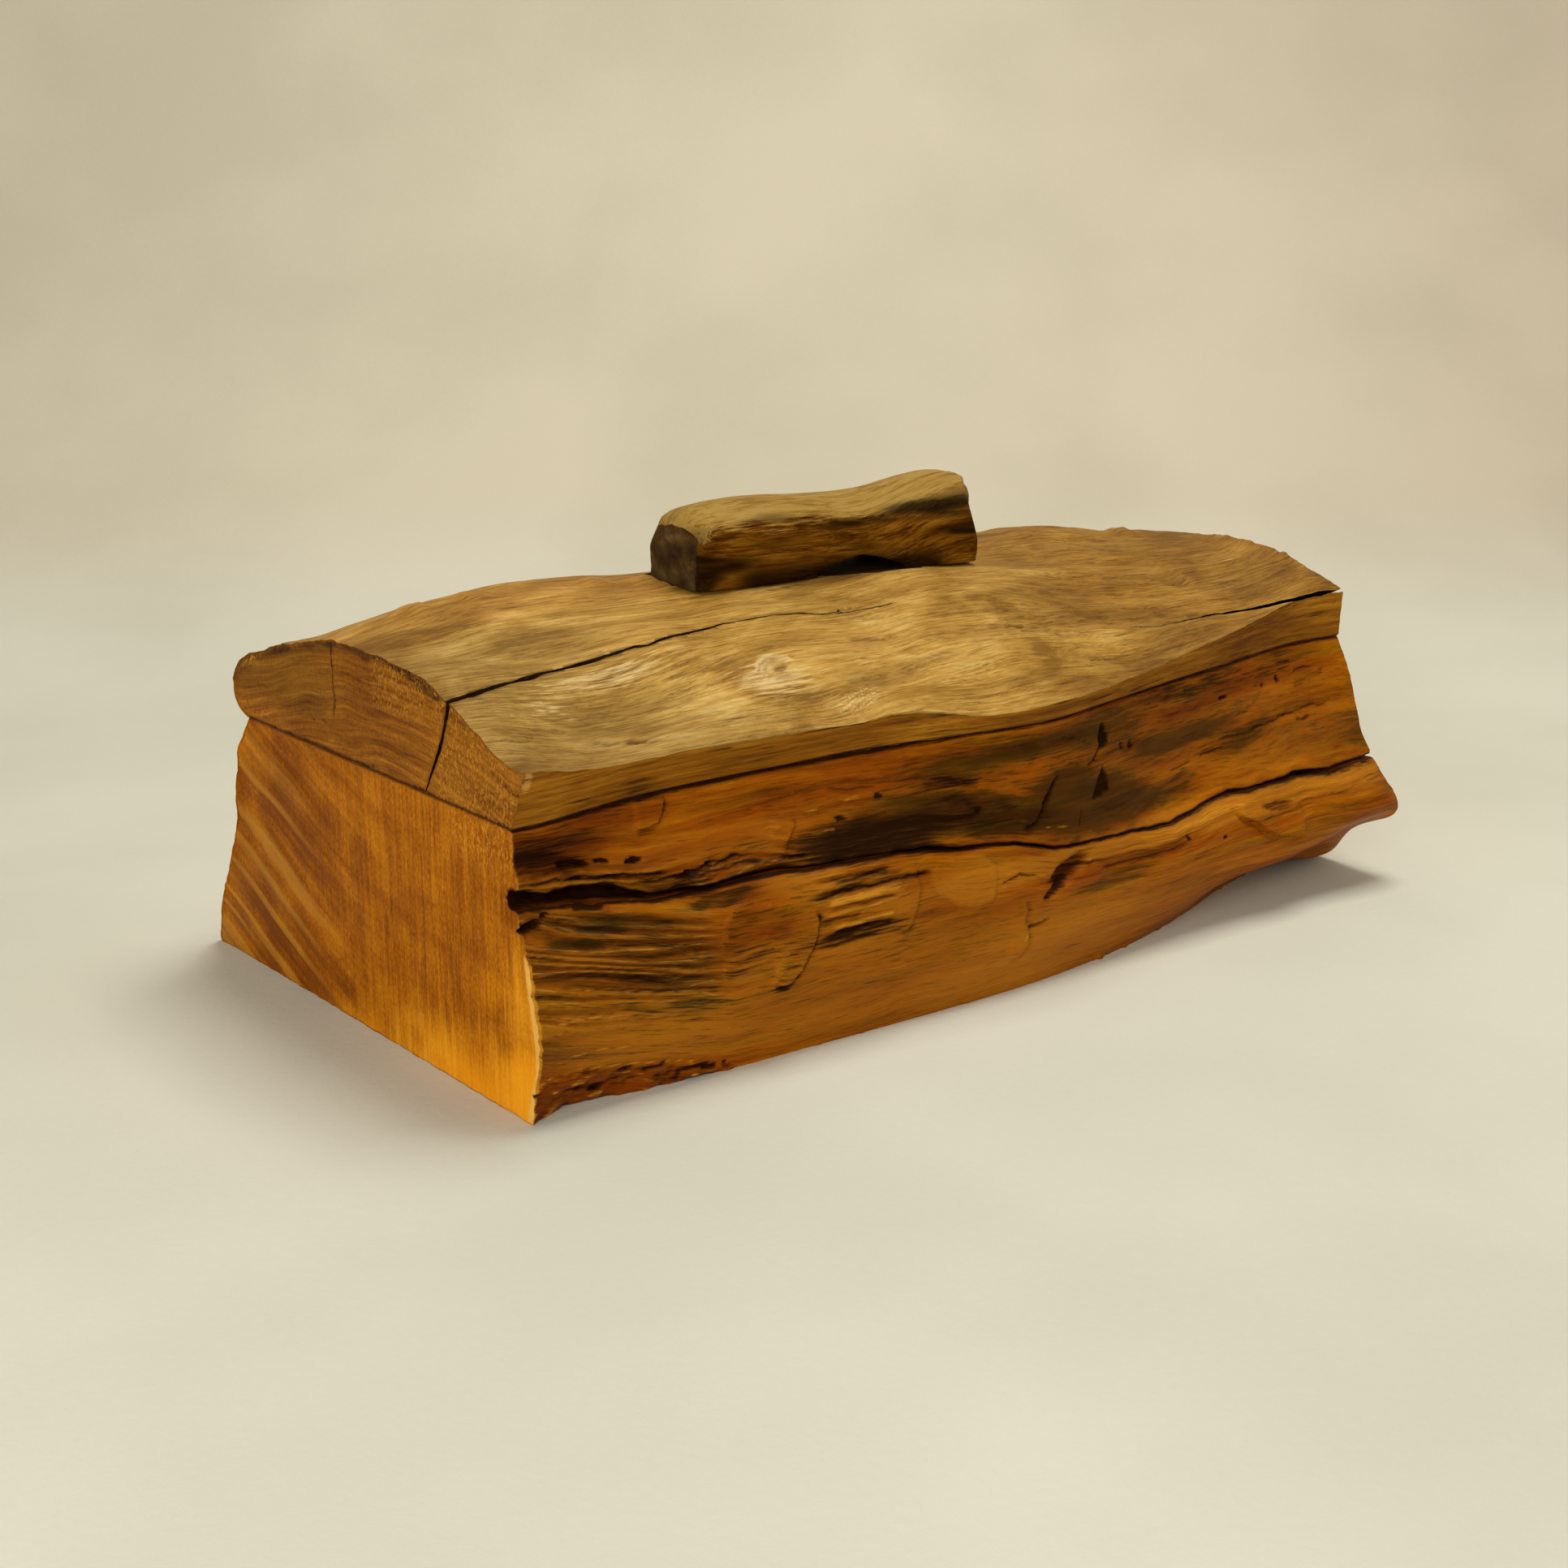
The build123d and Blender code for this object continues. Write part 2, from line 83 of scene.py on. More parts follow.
class Link:
    """One output socket of a shader tree, usable in sums and products."""

    def __init__(self, tree, socket):
        self.tree = tree
        self.socket = socket

    def node(self, kind, settings=None, inputs=None, output=0):
        """Any node: its type, its settings, and the values or links of its sockets."""
        made = self.tree.nodes.new(kind)
        for name, value in (settings or {}).items():
            if name == "stops":
                ramp = made.color_ramp
                while len(ramp.elements) < len(value):
                    ramp.elements.new(0.5)
                for element, (place, colour) in zip(ramp.elements, value):
                    element.position = place
                    element.color = (*colour, 1) if len(colour) == 3 else colour
            else:
                setattr(made, name, value)
        for name, value in (inputs or {}).items():
            if isinstance(value, Link):
                self.tree.links.new(value.socket, made.inputs[name])
            else:
                made.inputs[name].default_value = value
        return Link(self.tree, made.outputs[output])

    def maths(self, operation, *terms):
        inputs = {place: term for place, term in enumerate(terms)}
        return self.node("ShaderNodeMath", {"operation": operation}, inputs)

    def __add__(self, other):
        return self.maths("ADD", self, other)

    def __radd__(self, other):
        return self.maths("ADD", other, self)

    def __sub__(self, other):
        return self.maths("SUBTRACT", self, other)

    def __rsub__(self, other):
        return self.maths("SUBTRACT", other, self)

    def __mul__(self, other):
        return self.maths("MULTIPLY", self, other)

    def __rmul__(self, other):
        return self.maths("MULTIPLY", other, self)

    def __truediv__(self, other):
        return self.maths("DIVIDE", self, other)

    def __abs__(self):
        return self.maths("ABSOLUTE", self)

    def clamped(self, low=0.0, high=1.0):
        """The value kept between two limits."""
        return self.node("ShaderNodeClamp", None, {"Value": self, "Min": low, "Max": high})

    def spread(self, low, high):
        """0 below low, 1 above high, and smooth between."""
        inputs = {"Value": self, "From Min": low, "From Max": high}
        return self.node("ShaderNodeMapRange", {"interpolation_type": "SMOOTHSTEP"}, inputs)

    def sine(self):
        return self.maths("SINE", self)

    def ramp(self, stops):
        """A colour for each value, by a list of (place, colour)."""
        return self.node("ShaderNodeValToRGB", {"stops": stops}, {"Fac": self})

    def mixed(self, other, factor, blend="MIX"):
        """This colour, changing to the other one by a factor."""
        settings = {"data_type": "RGBA", "blend_type": blend}
        inputs = {"Factor": factor, COLOUR_A: self, COLOUR_B: other}
        return self.node("ShaderNodeMix", settings, inputs, output=MIXED_COLOUR)

    def times(self, other, factor):
        """This colour multiplied by another one, by a factor."""
        return self.mixed(other, factor, "MULTIPLY")

    def stretched(self, scale, turn=(0, 0, 0), move=(0, 0, 0)):
        """This position turned, moved and scaled, so that a noise gets a grain direction."""
        inputs = {"Vector": self, "Scale": scale, "Rotation": turn, "Location": move}
        return self.node("ShaderNodeMapping", {"vector_type": "POINT"}, inputs)

    def noise(self, scale=1.0, detail=3.0, roughness=0.5, distortion=0.0):
        """Cloudy noise from 0 to 1 at this position."""
        inputs = {"Vector": self, "Scale": scale, "Detail": detail, "Roughness": roughness,
                  "Distortion": distortion}
        return self.node("ShaderNodeTexNoise", None, inputs)

    def parts(self):
        """The three coordinates of this position."""
        first = self.node("ShaderNodeSeparateXYZ", None, {"Vector": self})
        outputs = first.socket.node.outputs
        return [Link(self.tree, outputs[place]) for place in range(3)]

# %% [markdown]
# A finish is then a function that returns what the surface shader should get. It reads the place
# on the object in millimetres, and the stains that are painted on the mesh as attributes, which
# also carry painted shade and highlights: those are made further down, together with the relief.
# %% Materials from paint functions
OBJECT_PLACE, ATTRIBUTE_VALUE = 3, 2  # outputs of the two nodes that the finishes read


def finish(name, paint):
    """A material whose look the function paint describes: it gets the position in millimetres
    and a function that reads a painted attribute, and returns the shader's own values."""
    material = bpy.data.materials.new(name)
    material.use_nodes = True
    tree = material.node_tree
    shader = tree.nodes["Principled BSDF"]
    start = Link(tree, shader.outputs[0])
    place = start.node("ShaderNodeTexCoord", output=OBJECT_PLACE)
    spot = place.node("ShaderNodeVectorMath", {"operation": "SCALE"}, {0: place, "Scale": 1 / MM})

    def painted(attribute):
        return start.node("ShaderNodeAttribute", {"attribute_name": attribute},
                          output=ATTRIBUTE_VALUE)

    for socket, value in paint(spot, painted).items():
        if isinstance(value, Link):
            tree.links.new(value.socket, shader.inputs[socket])
        else:
            shader.inputs[socket].default_value = value
    return material


def bumped(height, distance, strength=1.0):
    """A normal from a height, with the distance in millimetres."""
    return height.node("ShaderNodeBump", None,
                       {"Height": height, "Distance": distance * MM, "Strength": strength})

# %% [markdown]
# ## The photograph's viewpoint
#
# The camera was solved from the box's edges: upright edges give the pitch and the lens, level
# ones the direction. A camera that is only placed by eye makes every later comparison wrong.
# %% Camera
LENS, SENSOR = 53.78, 36
LOOK_DOWN, LOOK_ROUND = 16.4, 38.9  # degrees

camera = bpy.data.objects.new("camera", bpy.data.cameras.new("camera"))
bpy.context.scene.collection.objects.link(camera)
camera.data.lens = LENS
camera.data.sensor_width = SENSOR
camera.location = (-0.4569, -0.5502, 0.2500)
camera.rotation_euler = (math.radians(90 - LOOK_DOWN), 0, math.radians(-LOOK_ROUND))
camera.data.clip_start = 0.01
bpy.context.scene.camera = camera
bpy.context.scene.view_settings.view_transform = "Standard"
print("camera", [round(v, 3) for v in camera.location], "lens", camera.data.lens)

# %% [markdown]
# The floor sweeps up into the backdrop in one curve, as studio paper does, so that no corner
# shows. It is one strip of quads along a profile: floor, quarter circle, wall. The paper is a
# plain warm white on the floor. The wall is the same paper with painted shade: a little darker,
# and darker still towards one side.
# %% Paper sweep
def paper_sweep():
    """A floor that curves up into a wall behind the box, in metres."""
    wide, near, far, high, bend, steps = 4.0, 3.0, 0.72, 2.6, 0.50, 24
    profile = [(-near, 0.0)]
    for step in range(steps + 1):
        turn = math.radians(90 * step / steps)
        profile.append((far - bend + bend * math.sin(turn), bend - bend * math.cos(turn)))
    profile.append((far, high))
    mesh = bpy.data.meshes.new("paper_sweep")
    points = [(side * wide, run, rise) for side in (-1, 1) for run, rise in profile]
    count = len(profile)
    faces = [(k, k + 1, count + k + 1, count + k) for k in range(count - 1)]
    mesh.from_pydata(points, [], faces)
    mesh.polygons.foreach_set("use_smooth", [True] * len(faces))
    sweep = bpy.data.objects.new("paper_sweep", mesh)
    sweep.rotation_euler.z = camera.rotation_euler.z
    bpy.context.scene.collection.objects.link(sweep)
    sweep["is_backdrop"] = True
    return sweep


def paper(spot, painted):
    cloud = spot.noise(0.006, 3, 0.5)
    tooth = spot.noise(0.35, 3, 0.6)
    level = cloud * 0.9 + tooth * 0.1
    flat = level.ramp([(0.38, (0.62, 0.62, 0.53)), (0.62, (0.68, 0.68, 0.59))])
    # painted shade: the wall is coloured darker than the floor
    wall = level.ramp([(0.38, (0.57, 0.525, 0.41)), (0.62, (0.64, 0.59, 0.47))])
    across, _, up = spot.parts()
    # more painted shade towards one side of the wall
    wall = wall.times((0.86, 0.82, 0.80, 1), across.spread(50, 500))
    colour = flat.mixed(wall, up.spread(0, 60))
    return {"Base Color": colour, "Roughness": 0.9, "Normal": bumped(tooth, 0.4, 0.3)}


sweep = paper_sweep()
sweep.data.materials.append(finish("warm_white_paper", paper))
print("paper sweep", [round(v, 2) for v in sweep.dimensions], "m")

# %% [markdown]
# Three square lamps stand in for softboxes: one overhead, one at the front left, and a small low
# one that brightens the floor beyond the left end. A weak warm world fills the shadows.
# %% Lights
def soft_light(name, place, aim, size, power, colour):
    """A large square lamp that looks at a point."""
    lamp = bpy.data.lights.new(name, "AREA")
    lamp.shape = "RECTANGLE"
    lamp.size, lamp.size_y = size
    lamp.energy = power
    lamp.color = colour
    holder = bpy.data.objects.new(name, lamp)
    holder.location = place
    holder.rotation_euler = (Vector(aim) - Vector(place)).to_track_quat("-Z", "Y").to_euler()
    bpy.context.scene.collection.objects.link(holder)
    print(name, power, "watts")


BOX_MIDDLE, FLOOR_AT_LEFT = (0, 0, 0.05), (-0.38, -0.2, 0)
soft_light("overhead_softbox", (0.25, -0.05, 1.25), BOX_MIDDLE, (0.6, 0.5), 10.5, (1.0, 0.96, 0.88))
soft_light("front_softbox", (-0.95, -1.0, 0.6), BOX_MIDDLE, (0.6, 0.5), 7.6, (1.0, 0.95, 0.86))
soft_light("low_side_light", (-0.85, -0.35, 0.28), FLOOR_AT_LEFT, (0.2, 0.2), 1.3, (1.0, 0.96, 0.9))
world = bpy.data.worlds.new("studio")
bpy.context.scene.world = world
world.use_nodes = True
background = world.node_tree.nodes["Background"].inputs
background["Color"].default_value = (1.0, 0.94, 0.80, 1)
background["Strength"].default_value = 0.28

# %% [markdown]
# ## Tools for carving wood
#
# Natural wood is long-grained noise plus single marks: a torn edge, a groove, a pit. The noise
# comes first. It is summed on a lattice of repeatable random numbers, with finer copies on top, so
# that each run gives the same wood. Small curves for soft edges go with it.
# %% Noise and soft steps
LATTICE_PRIMES = (73856093, 19349663, 83492791, 40503)  # for the three directions and the seed
STIRRING = ((13, 1274126177), (15, 668265263))  # shift, factor
BITS_31 = 0x7FFFFFFF


def hashed(i, j, k, seed):
    """A repeatable random number from -1 to 1 for each lattice corner."""
    n = 0
    for value, prime in zip((i, j, k, seed), LATTICE_PRIMES):
        n = n ^ (value * prime)
    n = n & BITS_31
    for shift, factor in STIRRING:
        n = ((n ^ (n >> shift)) * factor) & BITS_31
    return ((n >> 8) & 0xFFFF) / 32767.5 - 1


def unit(t):
    """The value kept between 0 and 1."""
    return np.clip(t, 0.0, 1.0)


def hump(t):
    """1 at zero, dying away on both sides within about two."""
    return np.exp(-t ** 2)


def soft(t):
    """0 to 1 with level ends."""
    t = unit(t)
    return t * t * (3 - 2 * t)


def grain(x, y, z=0.0, seed=0, octaves=1, fall=0.5):
    """Smooth noise from about -1 to 1, at unit spacing, with finer copies on top."""
    x, y, z = np.broadcast_arrays(np.asarray(x, float), y, z)
    total, size, reach = 0.0, 1.0, 0.0
    for octave in range(octaves):
        i, j, k = (np.floor(a * 2 ** octave).astype(np.int64) for a in (x, y, z))
        u, v, w = (soft(a * 2 ** octave - b) for a, b in ((x, i), (y, j), (z, k)))
        level = 0.0
        for di in (0, 1):
            for dj in (0, 1):
                for dk in (0, 1):
                    weight = (u if di else 1 - u) * (v if dj else 1 - v) * (w if dk else 1 - w)
                    level = level + weight * hashed(i + di, j + dj, k + dk, seed + octave)
        total = total + size * level
        reach += size
        size *= fall
    return total / reach * 1.6


def soften(field, passes, axes=(0, 1)):
    """Each value drawn towards its neighbours, with the slope kept at the borders."""
    for _ in range(passes):
        for axis in axes:
            pad = [(1, 1) if a == axis else (0, 0) for a in (0, 1)]
            wide = np.pad(field, pad, mode="reflect", reflect_type="odd")
            count = field.shape[axis]
            before = np.take(wide, range(count), axis)
            after = np.take(wide, range(2, count + 2), axis)
            field = 0.25 * before + 0.5 * field + 0.25 * after
    return field


print("noise at three places", grain(np.array([0.2, 1.7, 4.4]), 0.5, seed=1).round(2))

# %% [markdown]
# The marks are laid down one by one, in millimetres on the surface, where they lie on the real
# piece.
# A skin is a grid of places that keeps two things: how far each place stands out, and how strongly
# each stain colours it. Besides the wood's own colour, the dark and pale stains also carry painted
# shade in hollows and painted highlights on raised edges. They could be brushed on too, but a mark
# that is a line of code can be moved later and falls in the same place on each run.
# %% A surface that takes listed marks
# dark, pale and gold hold the wood's colour and also painted shade, painted highlights and a
# painted glow
STAINS = ("dark", "pale", "gold", "olive", "red", "flow", "crack", "cracked", "waves", "roped",
          "deep", "flecked")
CRACK_REACH = 1.4
FAR_AWAY = 1e9


def fading(share, over):
    """1 along a path, dying away over a share of it at both ends."""
    return soft(share / over) * soft((1 - share) / over)


def inside(points, loop):
    """Which flat points lie inside a closed outline."""
    result = np.zeros(len(points), bool)
    x, y = points[:, 0], points[:, 1]
    for (ax, ay), (bx, by) in zip(loop, np.roll(loop, -1, 0)):
        if ay != by:
            crosses = ((ay > y) != (by > y)) & (x < (bx - ax) * (y - ay) / (by - ay) + ax)
            result ^= crosses
    return result


class Skin:
    """A grid of surface places u, v in millimetres, how far each stands out, and its stains."""

    def __init__(self, u, v, ragged=0.5, seed=1):
        self.u, self.v = u, v
        self.wu = u + ragged * (grain(u / 4, v / 3, seed=seed, octaves=3))
        self.wv = v + 0.7 * ragged * (grain(u / 4, v / 3, seed=seed + 7, octaves=3))
        self.out = np.zeros(u.shape)
        self.stains = {name: np.zeros(u.shape) for name in STAINS}
        self.nearest = np.full(u.shape, CRACK_REACH)
        self.calm = np.zeros(u.shape)

    def line_gap(self, path, reach):
        """For the points near a path: which they are, their signed distance from it (left is
        positive) and how far along it they lie, from 0 to 1."""
        path = np.array(path, float)
        low, high = path.min(0) - reach, path.max(0) + reach
        near = (self.wu > low[0]) & (self.wu < high[0]) & (self.wv > low[1]) & (self.wv < high[1])
        u, v = self.wu[near], self.wv[near]
        gap, side, share = np.full(u.shape, FAR_AWAY), np.ones(u.shape), np.zeros(u.shape)
        steps = np.diff(path, axis=0)
        lengths = np.hypot(steps[:, 0], steps[:, 1])
        run = 0.0
        for start, step, length in zip(path, steps, lengths):
            du, dv = u - start[0], v - start[1]
            t = unit((du * step[0] + dv * step[1]) / length ** 2)
            distance = np.hypot(du - t * step[0], dv - t * step[1])
            nearer = distance < gap - 1e-9
            gap[nearer] = distance[nearer]
            side[nearer] = np.sign(step[0] * dv - step[1] * du)[nearer]
            share[nearer] = ((run + t * length) / lengths.sum())[nearer]
            run += length
        return near, gap * side, share

    def stain(self, near, amount, colours):
        for name, strength in colours.items():
            self.stains[name][near] = unit(self.stains[name][near] + amount * strength)

    def wash(self, amount, **colours):
        """A stain over the whole surface, by an amount for each place."""
        self.stain(slice(None), amount, colours)

    def mark_crack(self, near, gap, strength):
        """Keeps the signed distance to the nearest crack, so that the finish can draw it sharp."""
        closer = abs(gap) < self.nearest[near]
        fade = strength * unit(1 - abs(gap) / CRACK_REACH)
        for field, value in ((self.nearest, abs(gap)), (self.stains["crack"], gap),
                             (self.stains["cracked"], fade)):
            row = field[near]
            row[closer] = value[closer]
            field[near] = row

    def line(self, path, width, out=0.0, crack=0.0, **colours):
        """A groove (out below zero) or a ridge along a path, dying away at its ends."""
        near, gap, share = self.line_gap(path, 4 * width + 1)
        ends = fading(share, 0.15)
        form = hump(gap / width) * ends
        self.out[near] += out * form
        self.stain(near, form, colours)
        if crack:
            self.mark_crack(near, gap, crack * ends)

    def step(self, path, height, fade=8.0, sharp=0.6, rim_highlight=0.4, shade=0.6, crack=0.9):
        """The torn edge of a plate that lies on the left of the path, standing proud."""
        near, gap, share = self.line_gap(path, 3 * fade)
        ends = fading(share, 0.12)
        raised = soft(gap / sharp + 0.5) * np.exp(-np.clip(gap, 0, None) / fade)
        under = hump((gap + 0.9) / 0.9)
        self.out[near] += height * ends * (raised - 0.35 * under)
        # painted highlight along the raised rim of the plate
        self.stain(near, ends * hump((gap - 0.7) / 0.5), {"pale": rim_highlight})
        # painted shade in the groove under the edge
        self.stain(near, ends * under, {"dark": 0.45 * shade ** 2})
        self.mark_crack(near, gap + 0.15, crack * ends)

    def patch(self, centre, radii, tilt=0.0, out=0.0, edge=0.5, **colours):
        """A pit, a boss or a stain with a wandering outline."""
        c, s = math.cos(math.radians(tilt)), math.sin(math.radians(tilt))
        du, dv = self.wu - centre[0], self.wv - centre[1]
        far = np.hypot((du * c + dv * s) / radii[0], (dv * c - du * s) / radii[1])
        form = soft((1 - far) / edge + 0.5 * edge)
        self.out += out * form
        self.wash(form, **colours)

    def plate(self, outline, height=0.0, sharp=0.8, calm=1.0, **colours):
        """A smooth plate inside a closed outline, where the fibres lie calm."""
        near, gap, _ = self.line_gap(list(outline) + [outline[0]], 3 * sharp + 1)
        flat = np.stack([self.wu[near], self.wv[near]], 1)
        within = inside(flat, np.array(outline, float))
        form = np.zeros(self.u.shape)
        form[near] = soft(np.where(within, abs(gap), -abs(gap)) / sharp + 0.5)
        self.out += height * form
        self.calm = np.maximum(self.calm, calm * form)
        self.wash(form, **colours)


print("a skin keeps its relief and", len(STAINS), "stains")

# %% [markdown]
# ## One closed mesh from several sheets
#
# A flat, sawn face is filled with triangles inside its outline. Their points lie in rows like
# the holes of a honeycomb, and keep clear of the outline itself, so that no triangle is a sliver.
# %% Points inside an outline
ROW_HEIGHT = 0.87  # of a triangle with sides of 1
CLEARANCE = 0.55
BATCH = 64


def lattice(loops, spacing):
    """Points in a triangular pattern inside the first outline, clear of every outline."""
    low, high = loops[0].min(0), loops[0].max(0)
    rows = np.arange(low[1] + 0.6 * spacing, high[1], spacing * ROW_HEIGHT)
    points = []
    for row, height in enumerate(rows):
        run = np.arange(low[0] + spacing * 0.5 * (row % 2), high[0], spacing)
        points.append(np.stack([run, np.full(run.shape, height)], 1))
    points = np.concatenate(points)
    points = points[inside(points, loops[0])]
    for loop in loops[1:]:
        points = points[~inside(points, loop)]
    clear = np.full(len(points), FAR_AWAY)
    for loop in loops:
        for start in range(0, len(loop), BATCH):
            part = loop[start:start + BATCH]
            gap = np.hypot(points[:, None, 0] - part[None, :, 0],
                           points[:, None, 1] - part[None, :, 1])
            clear = np.minimum(clear, gap.min(1))
    return points[clear > CLEARANCE * spacing]


unit_square = np.array([(0, 0), (1, 0), (1, 1), (0, 1)], float)
print("a square with sides of 1 takes", len(lattice([unit_square], 0.1)), "points at 0.1")

# %% [markdown]
# A sawn block has flat ends that meet a carved face along a ragged edge. Each carved face is a
# regular grid, and each flat face is filled with triangles inside the outline that the grids
# leave. Sharing the points along the edges keeps the solid closed without any boolean.
# %% A shell that collects sheets
MERGE_DISTANCE = 1e-7


class Shell:
    """Points in millimetres of the part's frame, faces, and the finish of each face."""

    def __init__(self, finishes):
        self.finishes = list(finishes)
        self.points, self.faces, self.kinds = [], [], []
        self.stains = {name: [] for name in STAINS}
        self.count = 0

    def add(self, points, stains=None):
        """Adds points of any array shape, and returns their numbers in that shape."""
        points = np.asarray(points, float)
        shape = points.shape[:-1]
        total = int(np.prod(shape))
        self.points.append(points.reshape(-1, 3))
        for name, rows in self.stains.items():
            given = (stains or {}).get(name)
            rows.append(np.zeros(total) if given is None else np.asarray(given, float).ravel())
        first = self.count
        self.count += total
        return np.arange(first, self.count).reshape(shape)

    def weave(self, numbers, finish_name, closed=False):
        """Quads between the rows of a grid of point numbers."""
        if closed:
            numbers = np.concatenate([numbers, numbers[:, :1]], axis=1)
        a, b = numbers[:-1, :-1].ravel(), numbers[1:, :-1].ravel()
        c, d = numbers[1:, 1:].ravel(), numbers[:-1, 1:].ravel()
        quads = np.stack([a, b, c, d], 1)
        self.faces.extend(quads.tolist())
        self.kinds.extend([self.finishes.index(finish_name)] * len(quads))

    def fill(self, outlines, plane, place, spacing, finish_name, stain=None):
        """Triangles inside the first outline and outside the others. plane picks the two
        coordinates that the outlines are flat in, and place gives new points their position."""
        every = np.concatenate(self.points)
        loops = [every[np.array(loop)][:, plane] for loop in outlines]
        inner = lattice(loops, spacing)
        flat = np.concatenate(loops + [inner])
        edges, first = [], 0
        for loop in loops:
            edges += [(first + k, first + (k + 1) % len(loop)) for k in range(len(loop))]
            first += len(loop)
        found = delaunay_2d_cdt([Vector(p) for p in flat], edges, [], 0, MERGE_DISTANCE)
        new = self.add(place(inner), stain(inner) if stain else None)
        numbers = np.concatenate([np.array(loop) for loop in outlines] + [new])
        source = np.array([origin[0] if origin else -1 for origin in found[3]])
        triangles = source[np.array(found[2])]
        triangles = triangles[(triangles >= 0).all(1)]
        middle = flat[triangles].mean(1)
        keep = inside(middle, loops[0])
        for loop in loops[1:]:
            keep &= ~inside(middle, loop)
        triangles = numbers[triangles[keep]]
        self.faces.extend(triangles.tolist())
        self.kinds.extend([self.finishes.index(finish_name)] * len(triangles))

    def build(self, name, materials, crease=40):
        """The Blender object, in metres, with its stains as attributes."""
        mesh = bpy.data.meshes.new(name)
        mesh.from_pydata((np.concatenate(self.points) * MM).tolist(), [], self.faces)
        for material in materials:
            mesh.materials.append(material)
        mesh.polygons.foreach_set("material_index", self.kinds)
        for stain, rows in self.stains.items():
            layer = mesh.attributes.new(stain, "FLOAT", "POINT")
            layer.data.foreach_set("value", np.concatenate(rows).astype(np.float32))
        work = bmesh.new()
        work.from_mesh(mesh)
        bmesh.ops.recalc_face_normals(work, faces=work.faces)
        open_edges = sum(1 for edge in work.edges if len(edge.link_faces) != 2)
        work.to_mesh(mesh)
        work.free()
        mesh.polygons.foreach_set("use_smooth", [True] * len(mesh.polygons))
        mesh.set_sharp_from_angle(angle=math.radians(crease))
        piece = bpy.data.objects.new(name, mesh)
        bpy.context.scene.collection.objects.link(piece)
        triangles = sum(len(p.vertices) - 2 for p in mesh.polygons)
        print(name, len(mesh.vertices), "points", triangles, "triangles", open_edges, "open edges")
        return piece

# %% [markdown]
# ## Measuring the construction model
#
# The new skins start from the true shape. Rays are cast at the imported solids, so that if the
# construction changes, the wood follows it.
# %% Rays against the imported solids
trees = {}
for name in ("box_body", "lid_slab", "handle_grip"):
    mesh = nodes[name].data
    trees[name] = BVHTree.FromPolygons([v.co for v in mesh.vertices],
                                       [p.vertices for p in mesh.polygons])


def reach(node, origin, direction):
    """Where a ray first meets a node, in millimetres, or None."""
    hit = trees[node].ray_cast(Vector(origin) * MM, Vector(direction))
    return None if hit[0] is None else np.array(hit[0]) / MM


def probe(node, x, y, z, direction, axis):
    """One coordinate of the first hit, for each place of three arrays in millimetres."""
    x, y, z = np.broadcast_arrays(x, y, z)
    found = np.full(x.shape, np.nan)
    for place in np.ndindex(x.shape):
        hit = reach(node, (x[place], y[place], z[place]), direction)
        if hit is not None:
            found[place] = hit[axis]
    return found


def in_mm(box):
    """The two opposite corners of a box, in millimetres."""
    return [np.array(corner) / MM for corner in box]


body_low, body_high = in_mm(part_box("box_body"))
lid_high = in_mm(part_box("lid_slab"))[1]
seam = body_high[2]
left, right = body_low[0], body_high[0]
length = right - left
foot_front = -87.5  # the front edge of the foot, where places across the log are counted from
ray_inset = 0.15  # rays keep this far from the edges of a face
far_off = 300.0  # rays start this far out


def clear_of_ends(u):
    """Where along x a ray may start for a place u along the log."""
    return np.clip(left + u, left + ray_inset, right - ray_inset)


print("log", round(length), "mm long, seam at", round(seam, 1), "mm")

# %% [markdown]
# ## The front of the box: the natural face under the bark
#
# The saw never touched this face. A shake, which is a natural crack along the fibres, runs
# through it from end to end, torn plates curl away from it, and fibres stand up as ridges. The
# shake comes first, because everything else follows it: its lower lip is a height every few
# millimetres, its opening a width, and noise on both keeps the lines from looking ruled.
# %% The lips of the shake
FRONT_STEP = 0.7
shake_x = [0, 5, 10, 15, 20, 25, 30, 35, 40, 45, 50, 60, 70, 80, 90, 100, 110, 120, 127, 133, 140,
           150, 160, 168, 176, 190, 200, 210, 220, 228, 240, 250, 258, 266, 280, 290, 300, 310,
           320, 331]
shake_low = [56, 56.2, 55.6, 55.2, 54.2, 53.6, 53, 52.2, 51.4, 51.2, 51.2, 50.8, 51.3, 51.2, 50.2,
             49.8, 49.7, 49.4, 48.6, 47.4, 46.3, 45.6, 44.4, 42.2, 39.9, 39.1, 38.6, 38.1, 37,
             36.9, 38.5, 39.8, 40.3, 39.8, 39.6, 39.8, 38.9, 38.8, 39.6, 39.2]
shake_open = [5, 4.4, 4.4, 4.4, 4.8, 4.6, 3.8, 3, 2.4, 1.8, 1.6, 1.4, 1.3, 1.2, 1, 1, 0.8, 0.7, 1,
              1.1, 0.7, 0.5, 0.5, 0.6, 0.5, 0.4, 0.4, 0.4, 0.5, 0.5, 0.5, 0.6, 0.9, 1, 0.9, 1.4,
              1.4, 1.3, 1, 1.2]

u_line = np.linspace(0, length, int(length / FRONT_STEP) + 1)
lip_low = np.interp(u_line, shake_x, shake_low) + 0.25 * grain(u_line / 7, 0.5, seed=3, octaves=3)
lip_gap = np.interp(u_line, shake_x, shake_open)
lip_gap = lip_gap * (1 + 0.16 * grain(u_line / 9, 0.5, seed=5, octaves=3))
lip_high = lip_low + np.clip(lip_gap, 0.3, None)
lip_middle = (lip_low + lip_high) / 2
slot_deep = np.interp(u_line, [0, 45, 80, 150, 230, 260, 331], [9, 8, 6, 4, 4, 7, 8])
slot_deep = slot_deep * (1 + 0.15 * grain(u_line / 6, 0.5, seed=8, octaves=2))


def shake_at(u):
    """The height of the shake's middle at each place along the log."""
    return np.interp(u, u_line, lip_middle)


print("the shake opens from", lip_gap.min().round(1), "to", lip_gap.max().round(1), "mm")

